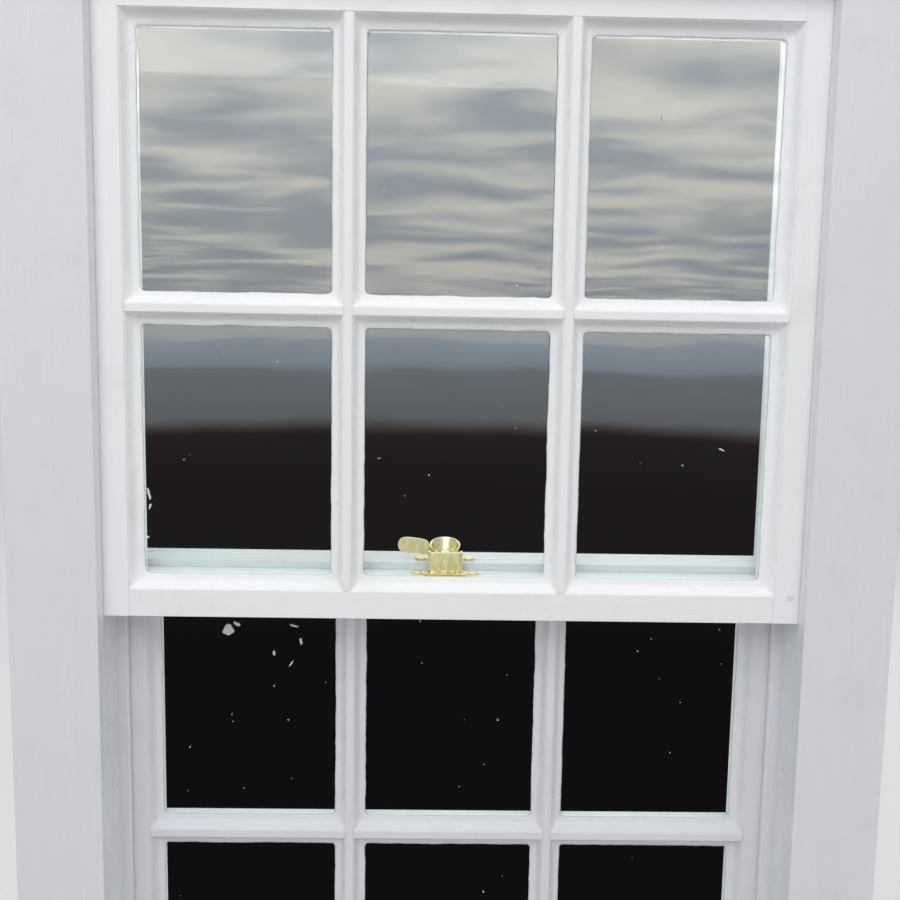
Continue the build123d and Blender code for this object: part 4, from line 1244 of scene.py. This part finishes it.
def light_world(scene):
    """A pale studio for the eye, soft light from above, and a cloudy sky in smooth glass."""
    world = bpy.data.worlds.new("studio_world")
    scene.world = world
    world.use_nodes = True
    tree = world.node_tree
    tree.nodes.clear()
    spot = add_node(tree, "TexCoord")
    level = add_node(tree, "SeparateXYZ", {"Vector": spot.outputs["Generated"]})
    up = level.outputs["Z"]

    soft = ramp(tree, up, -0.4, 0.25, studio().ground_light, studio().sky_light)
    sheen = sums(tree, "ADD", ramp(tree, up, -0.3, 0.12, 0.24, 0.95),
                 ramp(tree, up, 0.4, 0.85, 0.0, 0.45))
    path = add_node(tree, "LightPath")
    bounced = sums(tree, "GREATER_THAN", path.outputs["Glossy Depth"], 0.5)
    level_of_light = add_node(tree, "Mix", {"Factor": bounced, "A": soft, "B": sheen})
    light = add_node(tree, "Background", {
        "Color": (0.97, 0.985, 1, 1), "Strength": level_of_light.outputs[0]})

    # Clouds are drawn on a flat ceiling, so they crowd together towards the horizon
    lift = sums(tree, "ADD", sums(tree, "MAXIMUM", up, 0.0), 0.07)
    ceiling = add_node(tree, "CombineXYZ", {
        "X": sums(tree, "MULTIPLY", sums(tree, "DIVIDE", level.outputs["X"], lift), 0.62),
        "Y": sums(tree, "DIVIDE", level.outputs["Y"], lift), "Z": 0.3})
    clouds = add_node(tree, "TexNoise", {
        "Vector": ceiling.outputs["Vector"], "Scale": 2.1, "Detail": 7.0, "Roughness": 0.5,
        "Distortion": 0.2})
    bands = add_node(tree, "ValToRGB", {"Fac": ramp_linear(tree, up, -0.15, 0.35)})
    points = bands.color_ramp.elements
    for place, colour in MIRRORED_BANDS[1:-1]:
        points.new(place).color = (*colour, 1)
    points[0].color = (*MIRRORED_BANDS[0][1], 1)
    points[len(points) - 1].color = (*MIRRORED_BANDS[-1][1], 1)
    tuft = mix_colour(tree, ramp(tree, clouds.outputs["Fac"], 0.36, 0.68),
                      (0.65, 0.69, 0.75), (1.27, 1.20, 1.09))
    above = ramp(tree, up, -0.002, 0.03)
    tint = mix_colour(tree, above, (1.0, 1.0, 1.0), tuft)
    # Little is mirrored from steeply below, or from the room
    below = ramp(tree, up, -0.30, -0.19)
    outside = ramp(tree, level.outputs["Y"], 0.25, -0.1, 0.06, 1.0)
    view = add_node(tree, "VectorMath", {
        0: bands.outputs["Color"], 1: tint}, operation="MULTIPLY")
    sky = add_node(tree, "Background", {
        "Color": view.outputs["Vector"],
        "Strength": sums(tree, "MULTIPLY", sums(tree, "MULTIPLY", below, outside),
                         studio().mirrored_sky)})

    pale = add_node(tree, "Background", {"Color": (0.93, 0.93, 0.93, 1), "Strength": 1.0})
    straight = sums(tree, "LESS_THAN", sums(tree, "ADD", path.outputs["Glossy Depth"],
                                            path.outputs["Diffuse Depth"]), 0.5)
    through = sums(tree, "MULTIPLY", path.outputs["Is Transmission Ray"], straight)
    seen = sums(tree, "MAXIMUM", path.outputs["Is Camera Ray"], through)
    lit = add_node(tree, "MixShader", {
        0: pane_mirror(tree), 1: light.outputs[0], 2: sky.outputs[0]})
    shown = add_node(tree, "MixShader", {0: seen, 1: lit.outputs[0], 2: pale.outputs[0]})
    out = add_node(tree, "OutputWorld")
    tree.links.new(shown.outputs[0], out.inputs["Surface"])


def ramp_linear(tree, value, low, high):
    """Map a value evenly from one range to 0 to 1."""
    return add_node(tree, "MapRange", {
        "Value": value, "From Min": low, "From Max": high}).outputs["Result"]


def add_lamp(name, place, target, size, power):
    """A square soft lamp that faces target."""
    lamp = bpy.data.lights.new(name, "AREA")
    lamp.shape = "SQUARE"
    lamp.size = size
    lamp.energy = power
    holder = bpy.data.objects.new(name, lamp)
    holder.location = place
    away = Vector(place) - Vector(target)
    holder.rotation_euler = away.to_track_quat("Z", "Y").to_euler()
    bpy.context.scene.collection.objects.link(holder)
    return holder


class SASHWINDOW_PT_panel(bpy.types.Panel):
    """Lists the window's steps, sizes and colours"""

    bl_label = "Sash Window"
    bl_idname = "SASHWINDOW_PT_panel"
    bl_space_type = "VIEW_3D"
    bl_region_type = "UI"
    bl_category = "Sash Window"

    def draw(self, context):
        layout = self.layout
        for step in STEPS:
            layout.operator(step.bl_idname)
        for group in (sizes(), colours(), studio()):
            box = layout.box()
            for key in group.__annotations__:
                box.prop(group, key)


STEPS = (
    SASHWINDOW_OT_mix_finishes,
    SASHWINDOW_OT_paint_timber,
    SASHWINDOW_OT_glaze,
    SASHWINDOW_OT_dress_metalwork,
    SASHWINDOW_OT_hang_cords,
    SASHWINDOW_OT_set_stage,
)
GROUPS = (SashWindowSizes, SashWindowColours, SashWindowStudio)


def register():
    """Register the add-on's classes and settings."""
    for cls in (*GROUPS, *STEPS, SASHWINDOW_PT_panel):
        bpy.utils.register_class(cls)
    bpy.types.Scene.sash_window_sizes = PointerProperty(type=SashWindowSizes)
    bpy.types.Scene.sash_window_colours = PointerProperty(type=SashWindowColours)
    bpy.types.Scene.sash_window_studio = PointerProperty(type=SashWindowStudio)


def unregister():
    """Take the add-on's classes and settings away again."""
    del bpy.types.Scene.sash_window_studio
    del bpy.types.Scene.sash_window_colours
    del bpy.types.Scene.sash_window_sizes
    for cls in reversed((*GROUPS, *STEPS, SASHWINDOW_PT_panel)):
        bpy.utils.unregister_class(cls)


def main():
    """Run every step in order."""
    register()
    for step in STEPS:
        family, name = step.bl_idname.split(".")
        getattr(getattr(bpy.ops, family), name)()


if __name__ == "__main__":
    main()
